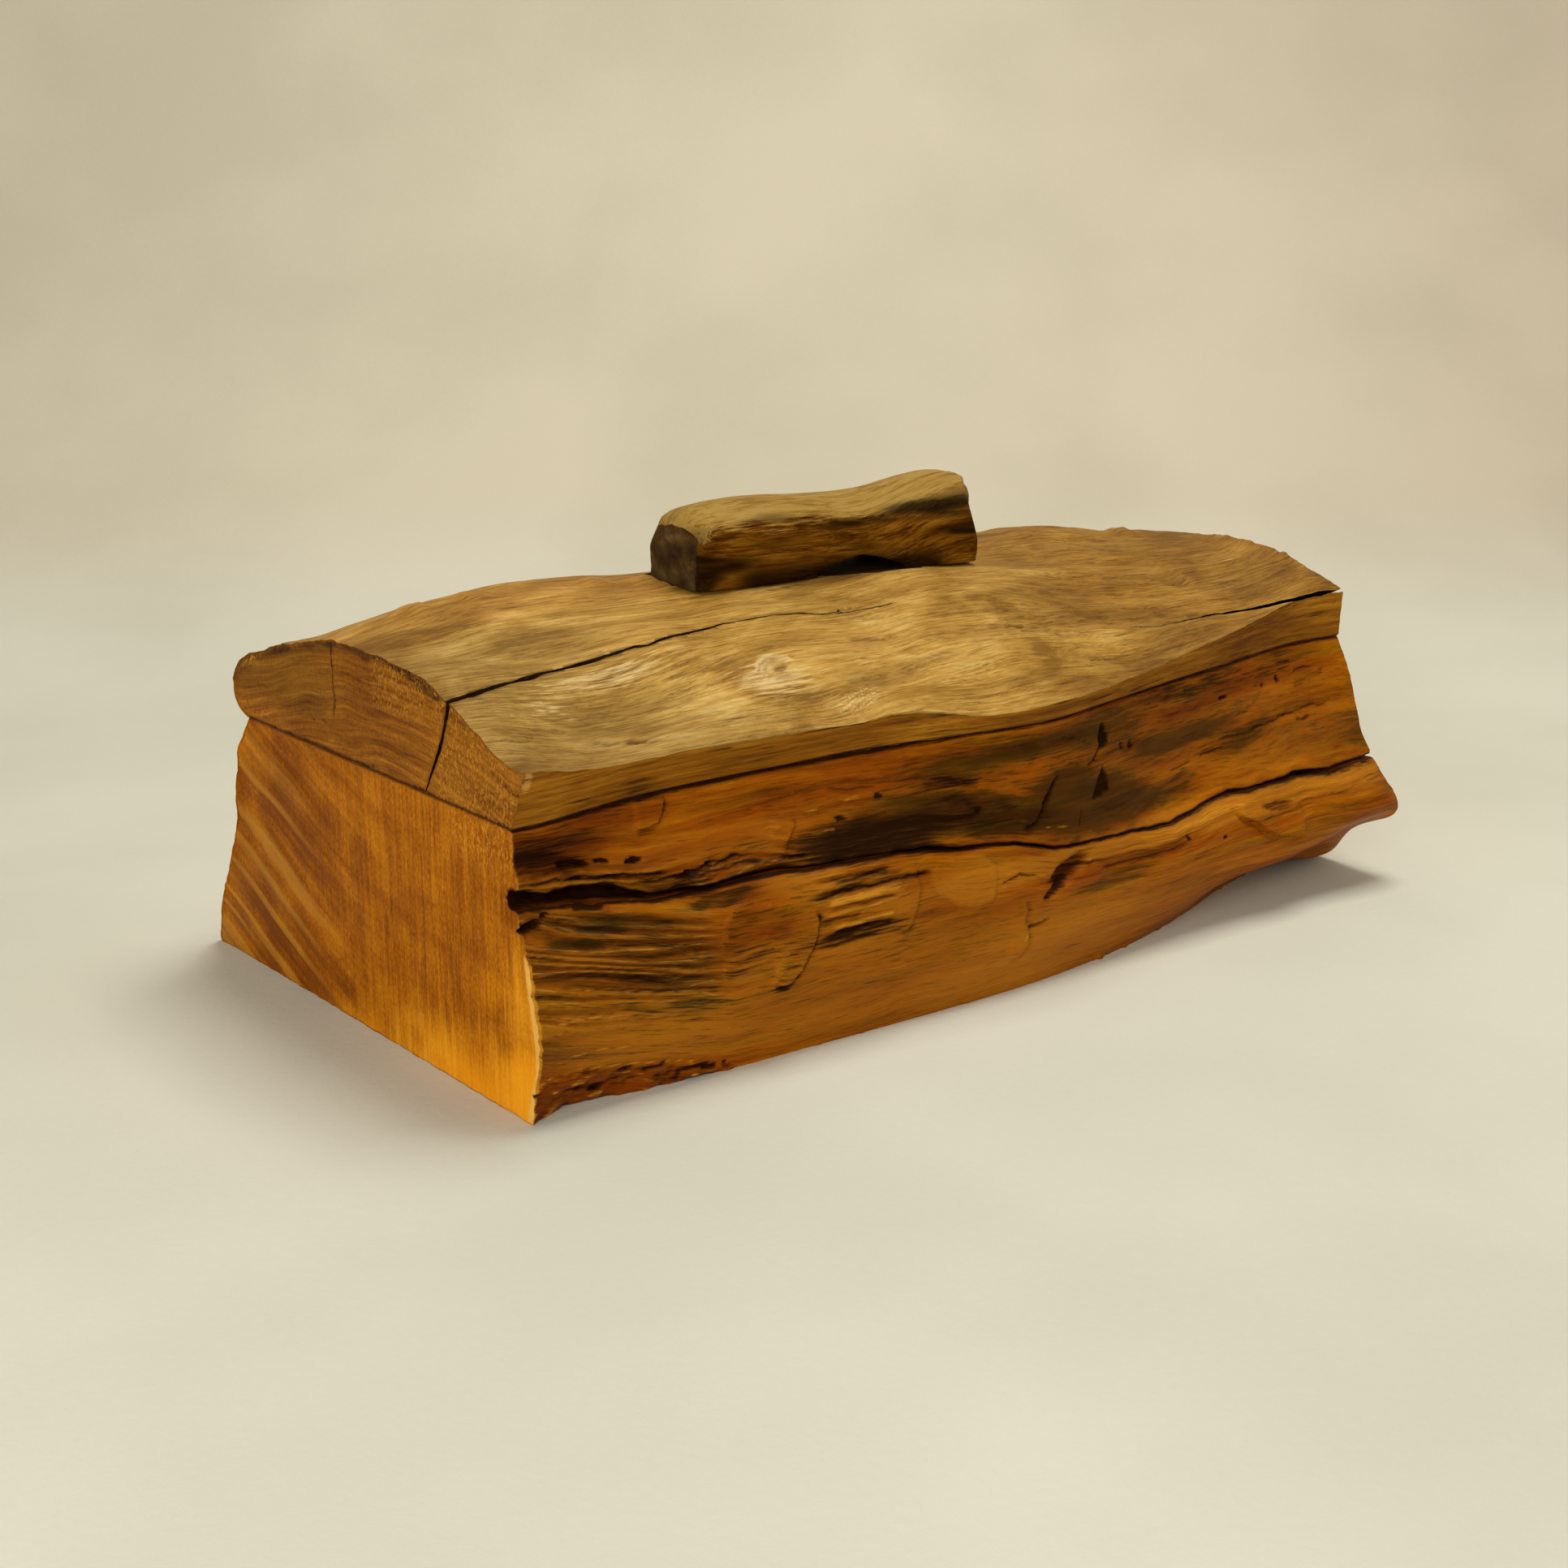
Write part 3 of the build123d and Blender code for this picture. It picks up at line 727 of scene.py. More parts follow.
# %% [markdown]
# The smooth base shape is measured by rays on a coarse grid. Places beside the shake are left out
# and bridged, because the shake gets rows of its own later. Between the coarse points the height
# follows a smooth curve both ways, so that the coarse grid doesn't show.
# %% Base shape of the front
COARSE_COLUMNS, COARSE_ROWS = 111, 52
BESIDE_SHAKE = 6


def front_base():
    """How deep the smooth front lies at each place along and up, without the shake."""
    along = np.linspace(0, length, COARSE_COLUMNS)
    up = np.linspace(0, seam, COARSE_ROWS)
    u, v = np.meshgrid(along, up, indexing="ij")
    z = np.clip(v, ray_inset, seam - ray_inset)
    deep = probe("box_body", clear_of_ends(u), -far_off, z, (0, 1, 0), 1)
    for column, height in enumerate(shake_at(along)):
        sound = abs(up - height) > BESIDE_SHAKE
        deep[column] = np.interp(up, up[sound], deep[column][sound])
    return along, up, soften(deep, 2)


def lookup(table, u, v):
    """Values between the points of a coarse table, by smooth interpolation both ways."""
    along, up, field = table

    def weights(places, at):
        step = places[1] - places[0]
        t = np.clip((at - places[0]) / step, 0, len(places) - 1.001)
        i = np.floor(t).astype(int)
        return i, t - i

    i, s = weights(along, u)
    j, t = weights(up, v)
    padded = np.pad(field, 1, mode="reflect", reflect_type="odd")
    total = 0.0
    for di in range(4):
        for dj in range(4):
            total = total + cubic(di, s) * cubic(dj, t) * padded[i + di, j + dj]
    return total


def cubic(which, t):
    """Weight of one of four neighbours in a smooth curve through the middle two."""
    return (0.5 * (-t ** 3 + 2 * t ** 2 - t), 0.5 * (3 * t ** 3 - 5 * t ** 2 + 2),
            0.5 * (-3 * t ** 3 + 4 * t ** 2 + t), 0.5 * (t ** 3 - t ** 2))[which]


front_table = front_base()
print("front face lies from", front_table[2].min().round(1), "to", front_table[2].max().round(1))

# %% [markdown]
# The marks below were read off the real face: millimetres from the left end, millimetres above
# the foot. Plates are smooth places where a layer came away whole. A torn edge has its plate on
# the left of the path as it is drawn, with a painted highlight on its rim and painted shade below
# it. Grooves follow the fibres and are darkened with painted shade.
# %% Plates, torn edges and grooves of the front
PLATE = [
    (57, 28), (66, 27.4), (73.6, 27.6), (71.5, 23), (76.5, 22.6), (79.5, 25), (82.6, 28.6),
    (85.6, 33), (86.8, 38), (86.8, 40.4), (83.5, 41.2), (78, 42.3), (72, 44.3), (67, 46.6),
    (62, 45), (58.5, 41.5), (56.8, 36),
]
# the rim column is a painted highlight, and the shade column is painted shade below the edge
TORN_EDGES = [  # path, height, fade, rim, shade
    ([(71.5, 22.4), (76.5, 22.4), (79.8, 25), (82.6, 28.6), (85.4, 32.6), (87, 36.5),
      (87.2, 40.6)], 1.5, 14, 0.25, 1.0),
    ([(39, 69), (43, 68.8), (46.5, 69.3), (48, 72), (49.5, 76)], 1.2, 12, 0.5, 0.9),
    ([(82, 55.3), (84.5, 58.3), (87.5, 61), (88.2, 63), (85, 64), (80, 64)], 0.9, 7, 0.5, 0.5),
    ([(116, 26.5), (119, 30), (121.5, 34), (123, 38), (123.2, 43), (122, 45.5)], 0.8, 10, 0.4, 0.3),
    ([(155, 10.4), (160, 11), (162.6, 13.8), (163, 17), (162.2, 20.5), (160.8, 22), (162, 25),
      (161, 29)], 0.8, 9, 0.45, 0.7),
    ([(167, 66), (170, 68.2), (172.3, 69.8), (170, 70.3), (165, 71.3)], 0.6, 6, 0.3, 0.6),
    ([(133, 57), (138, 56), (147.5, 56), (146, 57.3), (144, 59.5), (142, 60.2),
      (136, 60)], 0.6, 5, 0.5, 0.5),
    ([(287, 23.8), (276, 24.6), (270, 26.6), (265.5, 29.2), (261, 32.6),
      (255, 35.6)][::-1], 2.0, 10, 0.25, 0.3),
    ([(262, 62.5), (270, 62), (276, 63), (282, 64.8), (287.5, 66.8)], 0.7, 9, 0.5, 0.3),
    ([(303, 65.5), (312, 66.3), (318, 67.2), (322, 69)], 0.7, 6, 0.4, 0.8),
    ([(131, 66.3), (141, 64.6), (151, 63.4)], 0.8, 6, 0.2, 0.9),
    ([(118, 68), (122, 70), (128, 69.8)], 0.5, 6, 0.5, 0.4),
    ([(163.5, 48.6), (168, 49.6), (170.3, 52), (173, 54.4), (175, 57.8),
      (179, 62.5)], 1.6, 9, 0.1, 1.0),
]
# the dark column is painted shade in the groove
GROOVES = [  # path, width, out, dark
    ([(72, 21.6), (77, 22.2), (80.6, 24.8), (83.4, 28.2), (86.2, 32.4), (87.7, 36.6),
      (88, 41)], 1.0, -0.9, 1.0),
    ([(162.5, 20.3), (167, 20), (172.5, 20.6)], 0.5, -0.7, 0.6),
    ([(171.5, 53), (174.5, 57), (178, 61.5)], 1.3, -1.1, 0.9),
    ([(192, 60.6), (196, 62.8), (199.5, 65.5)], 0.9, -1.0, 0.8),
    ([(187, 43), (187.3, 47), (188, 50)], 0.6, -0.5, 0.5),
    ([(191, 31.2), (198, 30.4), (210, 30.4), (226, 30.2), (236, 30.8)], 1.3, -1.1, 0.7),
    ([(152, 34.5), (160, 35.6), (168, 34.4)], 0.5, -0.6, 0.7),
    ([(283, 33.6), (295, 33.0), (307, 33.4), (318, 35)], 0.9, -0.5, 0.45),
    ([(300, 38.2), (312, 38.6), (322, 38.8), (331, 37.9)], 0.5, -0.5, 0.6),
    ([(249, 52.8), (255, 53.2), (263, 53.6)], 0.7, -0.9, 0.9),
    ([(255, 55.8), (266, 56.2), (276, 56), (286, 56.6), (296, 57.7), (312, 57.9),
      (331, 57.4)], 0.8, -0.8, 0.7),
    ([(299, 55), (304, 54.9), (309, 55.4)], 0.6, -0.6, 0.8),
    ([(264, 47.6), (275, 48), (284, 48.2)], 0.5, -0.4, 0.5),
    ([(290, 48.3), (300, 48.5), (318, 48.4)], 0.5, -0.3, 0.35),
    ([(232, 51.2), (240, 51.4), (246, 52)], 0.7, -0.5, 0.6),
    ([(274, 73.6), (279, 74.4)], 0.6, -0.5, 0.6), ([(299, 71.6), (307, 72.2)], 0.7, -0.6, 0.7),
    ([(306, 68.9), (317, 69.6)], 0.6, -0.5, 0.8),
    ([(33, 57.2), (42, 56), (50, 55.7), (58, 56.5), (66, 57), (74, 56.8)], 0.9, -1.7, 1.0),
    ([(44, 53.2), (52, 53.6), (60, 53)], 0.5, -0.6, 0.7),
    ([(46, 55.4), (56, 55.0), (66, 55.2), (76, 55.7)], 0.5, -0.8, 0.8),
    ([(14, 61.6), (28, 59.7), (40, 57.9), (48, 57.3)], 0.7, -1.1, 0.9),
    ([(2, 62.6), (12, 61.8), (22, 60.4)], 0.6, -0.9, 0.8),
    ([(70, 54.9), (80, 54.5), (90, 54.2)], 0.5, -0.6, 0.7),
    ([(92, 43.5), (131, 43.1)], 0.9, -0.9, 0.95), ([(88, 36.7), (103, 36.3)], 0.8, -0.8, 0.7),
    ([(92, 33.2), (115, 32.8)], 0.7, -0.7, 0.5), ([(88, 46.8), (116, 46.6)], 0.6, -0.6, 0.5),
    ([(90, 39.9), (116, 39.6)], 0.6, -0.6, 0.5),
    ([(76, 30.6), (79, 30.9), (82, 30.2)], 0.5, -0.5, 0.25),
    ([(75, 27.4), (79.6, 27.2)], 0.5, -0.5, 0.3),
    ([(56, 66.3), (75, 68), (92, 69.2), (104, 69.8)], 1.8, -0.4, 0.5),
    ([(100, 69.4), (108, 67.6), (118, 67.2)], 1.3, -0.5, 0.6),
    ([(178, 66), (186, 63.4), (192, 61)], 0.5, -0.3, 0.4),
    ([(180, 72.4), (190, 69), (197, 66.2)], 0.6, -0.4, 0.4),
    ([(236, 33), (222, 31.6)], 0.5, -0.4, 0.4),
]

# %% [markdown]
# Ridges are fibres that stood up when the bark came away. Most are half a millimetre wide. Light
# catches them, so each one also gets a painted highlight: it is coloured paler.
# %% Ridges of the front
RIDGES = [  # path, width, out, pale
    ([(171.5, 47.3), (176, 46.6), (183, 46.0)], 0.5, 0.25, 1.0),
    ([(200, 46.5), (206, 46.3)], 0.5, 0.2, 0.6),
    ([(178, 37.6), (200, 36.2), (225, 35), (245, 36.6), (262, 38.2), (285, 37.4), (305, 36.6),
      (330, 36.4)], 2.2, 0.9, 0.62),
    ([(190, 33.6), (210, 32.8), (230, 33)], 1.4, 0.5, 0.4),
    ([(155, 40), (170, 37.8), (178, 36)], 1.2, 0.5, 0.5),
    ([(154, 36.6), (160, 36.4)], 0.5, 0.4, 0.7),
    ([(284, 58.6), (292, 59), (304, 59.1)], 0.8, 0.4, 0.5),
    ([(231, 58.2), (238, 59.2), (243.5, 57.6), (244, 55), (240.5, 53)], 0.9, 0.45, 0.2),
    ([(207, 67.4), (217, 67.2)], 0.9, 0.4, 0.6),
    ([(262, 65.4), (274, 66.4), (285, 69)], 1.0, 0.3, 0.35),
    ([(0, 64.4), (8, 64), (17, 62.6), (28, 60.9), (36, 59.4), (46, 58.6)], 0.7, 1.2, 0.5),
    ([(34, 57), (40, 55.6), (50, 54.3), (58, 54.4), (64, 55.6), (67, 56.2)], 0.6, 1.1, 0.45),
    ([(60, 53.6), (66, 54.2), (73, 54.4), (82, 53.7), (89, 53.2)], 0.5, 0.9, 0.5),
    ([(13, 55), (20, 53.2), (27, 51.6), (34, 50.8)], 0.8, 0.6, 0.6),
    ([(5, 27.6), (13, 27), (21, 26.2)], 0.5, 0.35, 0.9),
    ([(10, 22.8), (20, 21.8), (26, 21.9)], 0.5, 0.3, 0.7),
    ([(0, 15.4), (9, 17.6), (16, 17.6), (26, 16.2), (34, 15.6)], 0.45, 0.3, 0.85),
    ([(30, 31.6), (42, 31.8), (54, 33)], 0.5, 0.35, 0.7),
    ([(24, 25.4), (38, 24.6), (50, 25.6)], 0.5, 0.3, 0.6),
    ([(90, 25), (104, 25.4), (118, 27)], 0.5, 0.3, 0.6),
    ([(122, 22.4), (138, 23.4), (150, 25.4)], 0.5, 0.3, 0.6),
    ([(44, 28.8), (55, 29)], 0.6, 0.4, 0.8), ([(4, 36.4), (12, 35.2), (20, 32.8)], 0.6, 0.5, 0.8),
    ([(57, 13.4), (63, 14.6), (66, 14.4)], 0.6, 0.3, 0.8),
    ([(44, 16), (52, 16.6), (60, 15.4)], 0.8, 0.3, 0.4),
    ([(78, 48.0), (97, 48.2), (116, 48.8)], 0.9, 0.8, 0.7),
    ([(86, 45.2), (118, 45.6)], 0.8, 0.8, 0.8),
    ([(90, 41.2), (105, 41.4), (118, 41.6)], 1.2, 1.0, 0.95),
    ([(88, 38.4), (117, 38.8)], 0.8, 0.7, 0.7),
    ([(91, 34.6), (103, 35), (115, 35.4)], 0.8, 0.8, 1.0),
    ([(96, 31.2), (113, 31.5)], 0.9, 0.6, 0.6), ([(92, 21.9), (120, 22.0)], 0.7, 0.3, 0.35),
    ([(110, 18.2), (122, 18.5)], 0.5, 0.2, 0.8),
    ([(91, 58.6), (96, 59), (101, 58.8)], 0.6, 0.3, 1.0), ([(91, 56.2), (97, 56)], 0.5, 0.3, 0.6),
    ([(100, 54.6), (105, 54.2)], 0.5, 0.3, 0.8),
    ([(104, 65), (107, 65.4), (111, 65.6)], 0.5, 0.3, 1.0),
    ([(112, 58.9), (120, 58.4), (133, 56.6)], 0.5, 0.3, 0.7),
    ([(92, 64.8), (97, 64.2)], 0.5, 0.3, 0.7),
    ([(152, 65.8), (158, 67), (160, 69.6), (164, 70.8)], 0.4, 0.3, 0.7),
    ([(210, 62), (218, 62.6), (222, 65), (230, 65.8)], 0.4, 0.35, 0.5),
    ([(96, 60.8), (110, 61.4), (124, 60.2)], 0.4, 0.3, 0.55),
    ([(98, 52.6), (112, 52.4), (126, 51.2)], 0.4, 0.3, 0.6),
    ([(140, 61), (150, 61.6), (160, 61.2)], 0.4, 0.3, 0.5),
    ([(60, 69.6), (70, 70.6), (80, 70.4)], 0.4, 0.3, 0.5),
    ([(240, 69.6), (250, 70.4), (262, 70)], 0.45, 0.3, 0.5),
    ([(290, 62.4), (304, 63), (316, 64)], 0.45, 0.35, 0.5), ([(74, 64), (80, 63.8)], 0.5, 0.3, 0.8),
    ([(76, 62.2), (84, 62)], 0.6, 0.3, 0.8), ([(61, 75.2), (74, 75.4)], 0.5, 0.2, 0.7),
    ([(66, 74), (72, 73.8)], 0.5, 0.2, 0.6), ([(133, 52.4), (138, 52)], 0.6, 0.3, 0.5),
    ([(161, 16), (162, 18)], 0.7, 0.2, 0.9), ([(70, 44.6), (74, 44.4)], 0.5, 0.2, 0.9),
    ([(78, 30.2), (84, 30.6)], 0.8, 0.3, 0.7),
]

# %% [markdown]
# Patches are whatever has a middle and an edge: pits and eyes left by the bark, and places where
# the wood is darker, redder or olive. A patch presses the surface in, stains it, or both; the dark
# of a patch that presses in is painted shade. The golden places are stains alone, and the long
# band on the ridge of the shake's lower lip is partly a painted highlight.
# %% Pits and stains of the front
# in rows that press in, the dark is painted shade; in the other rows it is the wood's colour
PITS = [  # centre, radii, tilt, out, dark, red, olive
    ((18.5, 64.3), (4.6, 0.9), -10, -1.8, 1, 0, 0), ((36.6, 62), (2.8, 0.9), -4, -1.8, 1, 0, 0),
    ((27, 63.6), (3.0, 0.7), -14, -1.0, 0.9, 0, 0), ((9, 66.3), (14, 2.4), -12, -2.0, 0.5, 0.9, 0),
    ((12, 69.4), (17, 3.2), -9, -0.8, 0.28, 0.9, 0), ((3, 51.8), (3.6, 1.5), 12, -3.5, 1, 0.5, 0),
    ((7.5, 54.4), (1.2, 0.7), 0, -1.2, 0.9, 0, 0), ((19, 53.8), (6.5, 0.6), -13, -1.0, 1, 0, 0),
    ((51.5, 56.1), (1.3, 0.7), 0, -1.2, 1, 0, 0), ((58.5, 56.5), (1.6, 0.6), 0, -1.2, 1, 0, 0),
    ((148.5, 56.1), (1.2, 0.8), 0, -0.7, 0.9, 0, 0), ((296.8, 68), (1.6, 0.9), 0, -1.6, 1, 0, 0),
    ((288.3, 68), (0.9, 0.6), 0, -0.8, 0.8, 0, 0), ((266, 67.6), (2.8, 0.6), -5, -1.1, 0.9, 0, 0),
    ((248.6, 29.6), (0.9, 0.6), 0, -0.9, 1, 0, 0), ((233, 32), (0.7, 1.2), 0, -0.6, 0.7, 0, 0),
    ((38.3, 3.4), (1.6, 1.3), 0, -1.4, 0.9, 0.5, 0), ((44.6, 1.9), (0.9, 0.8), 0, -1.0, 1, 0, 0),
    ((59.2, 3.0), (0.6, 0.6), 0, -0.8, 0.9, 0, 0), ((209.5, 63.8), (1.3, 0.8), 0, -0.7, 0.8, 0, 0),
    ((214, 63), (1.5, 1.3), 0, -0.7, 0.7, 0, 0), ((116.5, 64.7), (1.6, 0.7), 0, -0.6, 0.9, 0, 0),
    ((103, 61.3), (2.4, 0.6), 0, -0.6, 0.9, 0, 0),
    ((180.5, 33.6), (7.6, 2.3), 16, -2.4, 0.5, 0.8, 0),
    ((174, 29.0), (5.5, 1.4), 24, -1.4, 0.6, 0.3, 0), ((276, 34), (8, 1.5), -4, -1.0, 0.45, 0.6, 0),
    ((200, 26.8), (17, 2.4), 2, -0.3, 0.1, 0, 0.55), ((142, 65.3), (9, 1.1), -9, -0.5, 0.5, 0.7, 0),
    ((112, 55), (22, 4.4), -2, -0.4, 0.55, 0, 1), ((150, 54.5), (24, 5), -12, -0.3, 0.4, 0, 0.9),
    ((196, 48), (24, 7), -4, 0, 0.12, 0, 0.85), ((182, 58), (14, 5), 0, 0, 0.05, 0, 0.45),
    ((232, 46), (14, 3), 6, 0, 0.1, 0, 0.45), ((150, 70), (24, 4), 6, 0, 0.12, 0, 0.4),
    ((205, 69), (16, 6), 0, 0, 0, 0, 0.35), ((272, 54.5), (14, 3), 10, 0, 0.1, 0, 0.4),
    ((250, 74.5), (24, 3), 0, 0, 0.3, 0, 0.4), ((300, 73.5), (16, 3), 4, 0, 0.25, 0.2, 0.2),
    ((178, 62), (78, 15), 2, 0, 0.13, 0, 0.3), ((285, 62), (50, 13), 4, 0, 0.08, 0, 0.2),
    ((80, 30), (80, 26), -4, 0, 0.24, 0, 0.06), ((14, 45.6), (9, 1.6), -10, -0.5, 0.15, 0, 0.6),
    ((22, 47.8), (8, 1.2), -10, -0.3, 0.1, 0, 0.5), ((60, 48.2), (12, 2.0), 2, -0.3, 0.12, 0, 0.6),
    ((22, 42), (26, 9), -10, 0, 0, 0, 0.22), ((80, 58), (60, 5), -2, 0, 0, 0.45, 0),
    ((20, 73), (34, 5), 0, 0, 0.26, 0.5, 0), ((265, 67), (34, 5), 4, 0, 0, 0.4, 0),
    ((262, 26), (26, 6), -4, 0, 0.05, 0.3, 0),
]
# the first row is golden colour and partly a painted highlight along the ridge of the lip
GOLDEN = [  # centre, radii, tilt, gold
    ((250, 36.8), (92, 3.0), 0, 1.0), ((110, 16), (70, 14), -2, 0.6),
    ((205, 14), (52, 12), 6, 0.45), ((300, 50), (40, 6), 4, 0.5), ((300, 66), (34, 5), 4, 0.3),
    ((62, 61.5), (24, 3.2), -3, 0.55), ((20, 20), (26, 7), -12, 0.35), ((90, 65), (14, 2), 0, 0.3),
    ((250, 62), (34, 4), 4, 0.35), ((85, 47.8), (10, 3.6), -6, 0.7), ((105, 40), (16, 9), 0, 0.5),
    ((150, 38), (14, 5), 0, 0.4),
]

print(len(TORN_EDGES), "torn edges", len(GROOVES), "grooves", len(RIDGES), "ridges",
      len(PITS) + len(GOLDEN), "patches")

# %% [markdown]
# The marks go onto the grid from the large plates to the thin lines, because a later mark lies on
# top of an earlier one. The smooth plates are also declared calm, which quiets the fibres there.
# %% Laying the marks on the front
def front_marks(u, v):
    """A skin with the listed marks of the front."""
    skin = Skin(u, v, ragged=0.45, seed=11)
    skin.plate(PLATE, height=0.9, gold=0.2, dark=0.16)
    skin.patch((70, 41.5), (9, 5), tilt=-30, edge=1.2, red=0.4)
    skin.patch((68, 31), (9, 4), edge=1.2, gold=0.6)
    skin.plate([(128, 39), (131, 36), (137, 31.5), (143, 29.8), (150, 31), (152, 40), (148, 44),
                (136, 45.5), (128, 43.5)], height=0.5, gold=0.3, sharp=0.7)
    skin.plate([(118, 44), (128, 44), (130, 36), (137, 31), (126, 27), (119, 30)],
               calm=0.8, red=0.4)
    skin.plate([(60, 1), (160, 1), (161, 29), (145, 28), (126, 27), (100, 26), (85, 21)],
               sharp=8, calm=0.8)
    skin.plate([(165, 1), (250, 1), (250, 20), (165, 18)], sharp=8, calm=0.6)
    skin.plate([(172, 49), (215, 43), (218, 60), (200, 62), (178, 62)],
               height=0.3, sharp=3, calm=0.7)
    skin.plate([(222, 42), (330, 43), (330, 76), (222, 76)], sharp=8, calm=0.5)
    # two pockets pressed in and darkened with painted shade
    skin.plate([(199, 65), (203, 65.5), (204.2, 68), (202, 71.5), (200.6, 71), (198.8, 67.5)],
               height=-1.6, sharp=0.7, dark=0.9)
    skin.plate([(193.5, 51.2), (201.5, 51.8), (201.3, 56), (199.4, 59.8), (196.5, 56)], height=-1.1,
               sharp=0.7, dark=0.6, olive=0.4)
    for centre, radii, tilt, gold in GOLDEN:
        skin.patch(centre, radii, tilt, edge=1.4, gold=gold)
    for path, height, fade, rim_highlight, shade in TORN_EDGES:
        skin.step(path, height, fade, rim_highlight=0.8 * rim_highlight, shade=shade, crack=0.4 * shade ** 2)
    for path, width, out, dark in GROOVES:
        skin.line(path, 0.8 * width, out, crack=0.7 * dark, dark=0.5 * dark)
    for path, width, out, pale in RIDGES:
        skin.line(path, 0.85 * width, out, pale=0.85 * pale)
    for centre, radii, tilt, out, dark, red, olive in PITS:
        wide = min(radii) > 2
        skin.patch(centre, radii, tilt, out, 1.1 if wide else 0.6, dark=dark, red=red, olive=olive)
    skin.patch((187, 29.6), (9, 2.4), tilt=6, out=0.8, edge=0.9, pale=0.2, red=0.6)
    # a raised rib with a painted highlight on it
    skin.line([(183, 33.8), (187.5, 34.6), (190.5, 34.0)], 0.6, out=0.9, pale=0.6)
    return skin

# %% [markdown]
# Then come the fibres, which is noise stretched along the log. It follows the shake, and it is
# strong beside the shake and in the torn parts. Beside the shake's left half the fibres lie in
# wavy ropes, which are a sine with a wandering phase.
# %% Fibres and ropes of the front
SHAKE_LEVEL = 50  # the shake's height on average, about which the fibres bend


def fibre_height(u, v):
    """The height that a fibre through each place would have in straight wood. It follows the
    shake; below it, at the left end, the fibres sink to the right over sixty millimetres."""
    shake = shake_at(u)
    above = (shake - SHAKE_LEVEL) * np.exp(-np.clip(v - shake, 0, None) / 14)
    sink = np.clip(60 - u, 0, None)
    below = (shake - SHAKE_LEVEL) * np.exp(-np.clip(shake - v, 0, None) / 12) * soft((u - 60) / 60)
    below = below + 0.19 * sink + 0.0006 * sink ** 2
    return v - np.where(v > shake, above, below) + 0.7 * grain(u / 30, v / 9, seed=41, octaves=2)


def add_fibres(skin):
    """Fibres and ropes, strongest beside the shake and in the torn areas."""
    u, v = skin.u, skin.v
    shake = shake_at(u)
    flow = fibre_height(u, v)
    left_ridges = soft((60 - u) / 10) * soft((v - 16) / 10) * soft((shake - 2 - v) / 3)
    ropes = hump((v - shake - 2) / 6) * soft((116 - u) / 40)
    bars = soft((u - 84) / 8) * soft((121 - u) / 5)
    bars = bars * soft((v - 27) / 5) * soft((shake - 1 - v) / 1.5)
    lip = soft((u - 150) / 40) * soft((v - 22) / 8) * soft((shake - v) / 2)
    # How lively the fibres are: little by themselves, more beside the shake, none on calm plates
    lively = unit(0.16 + 0.25 * left_ridges + 0.4 * ropes + 0.65 * bars + 0.3 * lip)
    lively = lively * (1 - 0.85 * skin.calm)
    coarse = grain(u / 34, flow / 1.75, seed=43, octaves=3)
    fine = grain(u / 16, flow / 0.85, seed=47, octaves=2)
    wide_bands = grain(u / 60, flow / 7, seed=49, octaves=2)
    skin.out += 0.62 * lively * coarse + (0.05 + 0.13 * lively) * fine
    skin.out += 0.5 * grain(u / 28, v / 14, seed=51, octaves=2)
    skin.wash(lively * unit(-coarse - 0.12), dark=0.75, olive=1.0)
    skin.wash(lively * unit(coarse - 0.2), pale=0.9)
    skin.wash(lively * unit(-fine - 0.35), dark=0.5)
    plain = soft((shake - 6 - v) / 4) * soft((u - 48) / 12)
    skin.wash(unit(wide_bands - 0.25) * (1 - 0.75 * plain), olive=0.6)
    skin.wash(unit(-wide_bands - 0.3), red=0.6)
    # Ropes: below the shake at the left, and along its upper lip
    waves = flow / 3.3 + 0.8 * grain(u / 30, flow / 7, seed=53, octaves=2)
    roped = unit(left_ridges + 0.9 * ropes * (v > shake)) * (1 - skin.calm)
    rope = np.sin(2 * math.pi * waves) * (0.7 + 0.5 * grain(u / 16, flow / 4, seed=54))
    skin.out += 0.42 * roped * rope
    skin.wash(left_ridges, olive=0.06)
    skin.stains["flow"], skin.stains["waves"], skin.stains["roped"] = flow, waves, roped

# %% [markdown]
# At the bottom left a strip of rough bark is left, below a ragged ledge. It replaces the relief
# that is there already, so it comes last.
# %% Bark at the bottom left, and the whole front
def add_bark(skin):
    """The strip of bark, and the light edge of the wood above it."""
    u, v = skin.u, skin.v
    ledge = np.interp(u, [0, 7, 12, 20, 30, 40, 50, 58, 64],
                      [10, 13.4, 13, 11.5, 9.5, 7.5, 5, 3.4, 0])
    below = soft((ledge - v + 0.8 * grain(u / 2.5, v / 2.5, seed=31, octaves=2)) / 1.2)
    rough = grain(u / 7, (v + 0.12 * u) / 0.9, seed=33, octaves=3)
    skin.out = skin.out * (1 - below) + below * (0.1 + 1.2 * rough)
    for name in ("dark", "pale", "olive"):
        skin.stains[name] *= 1 - 0.6 * below
    skin.wash(below, red=0.9)
    skin.wash(below * unit(-rough - 0.05), dark=1.15)
    # painted shadow under the ledge
    skin.wash(below * hump((v - ledge + 1.2) / 0.6), dark=0.5)
    skin.wash(below * unit(rough - 0.2), pale=1.1)
    # painted highlight along the edge of the ledge
    skin.wash(hump((v - ledge - 0.4) / 0.5) * soft((60 - u) / 10), pale=0.85)
    skin.stains["roped"] = skin.stains["roped"] * (1 - below)


def carve_front(u, v):
    """The relief and the stains of the front face at each place."""
    skin = front_marks(u, v)
    add_fibres(skin)
    add_bark(skin)
    return skin

# %% [markdown]
# Each column of the front grid runs up the face to the shake's lower lip, in along its floor to
# the root, out along its roof to the upper lip, and up to the seam. So the shake is a real gap
# with walls, and still one sheet of quads. A cut by a boolean would leave ragged triangles there.
# %% Front sheet with the shake as a real gap
LOW_ROWS, HIGH_ROWS, WALL_ROWS = 66, 40, 7


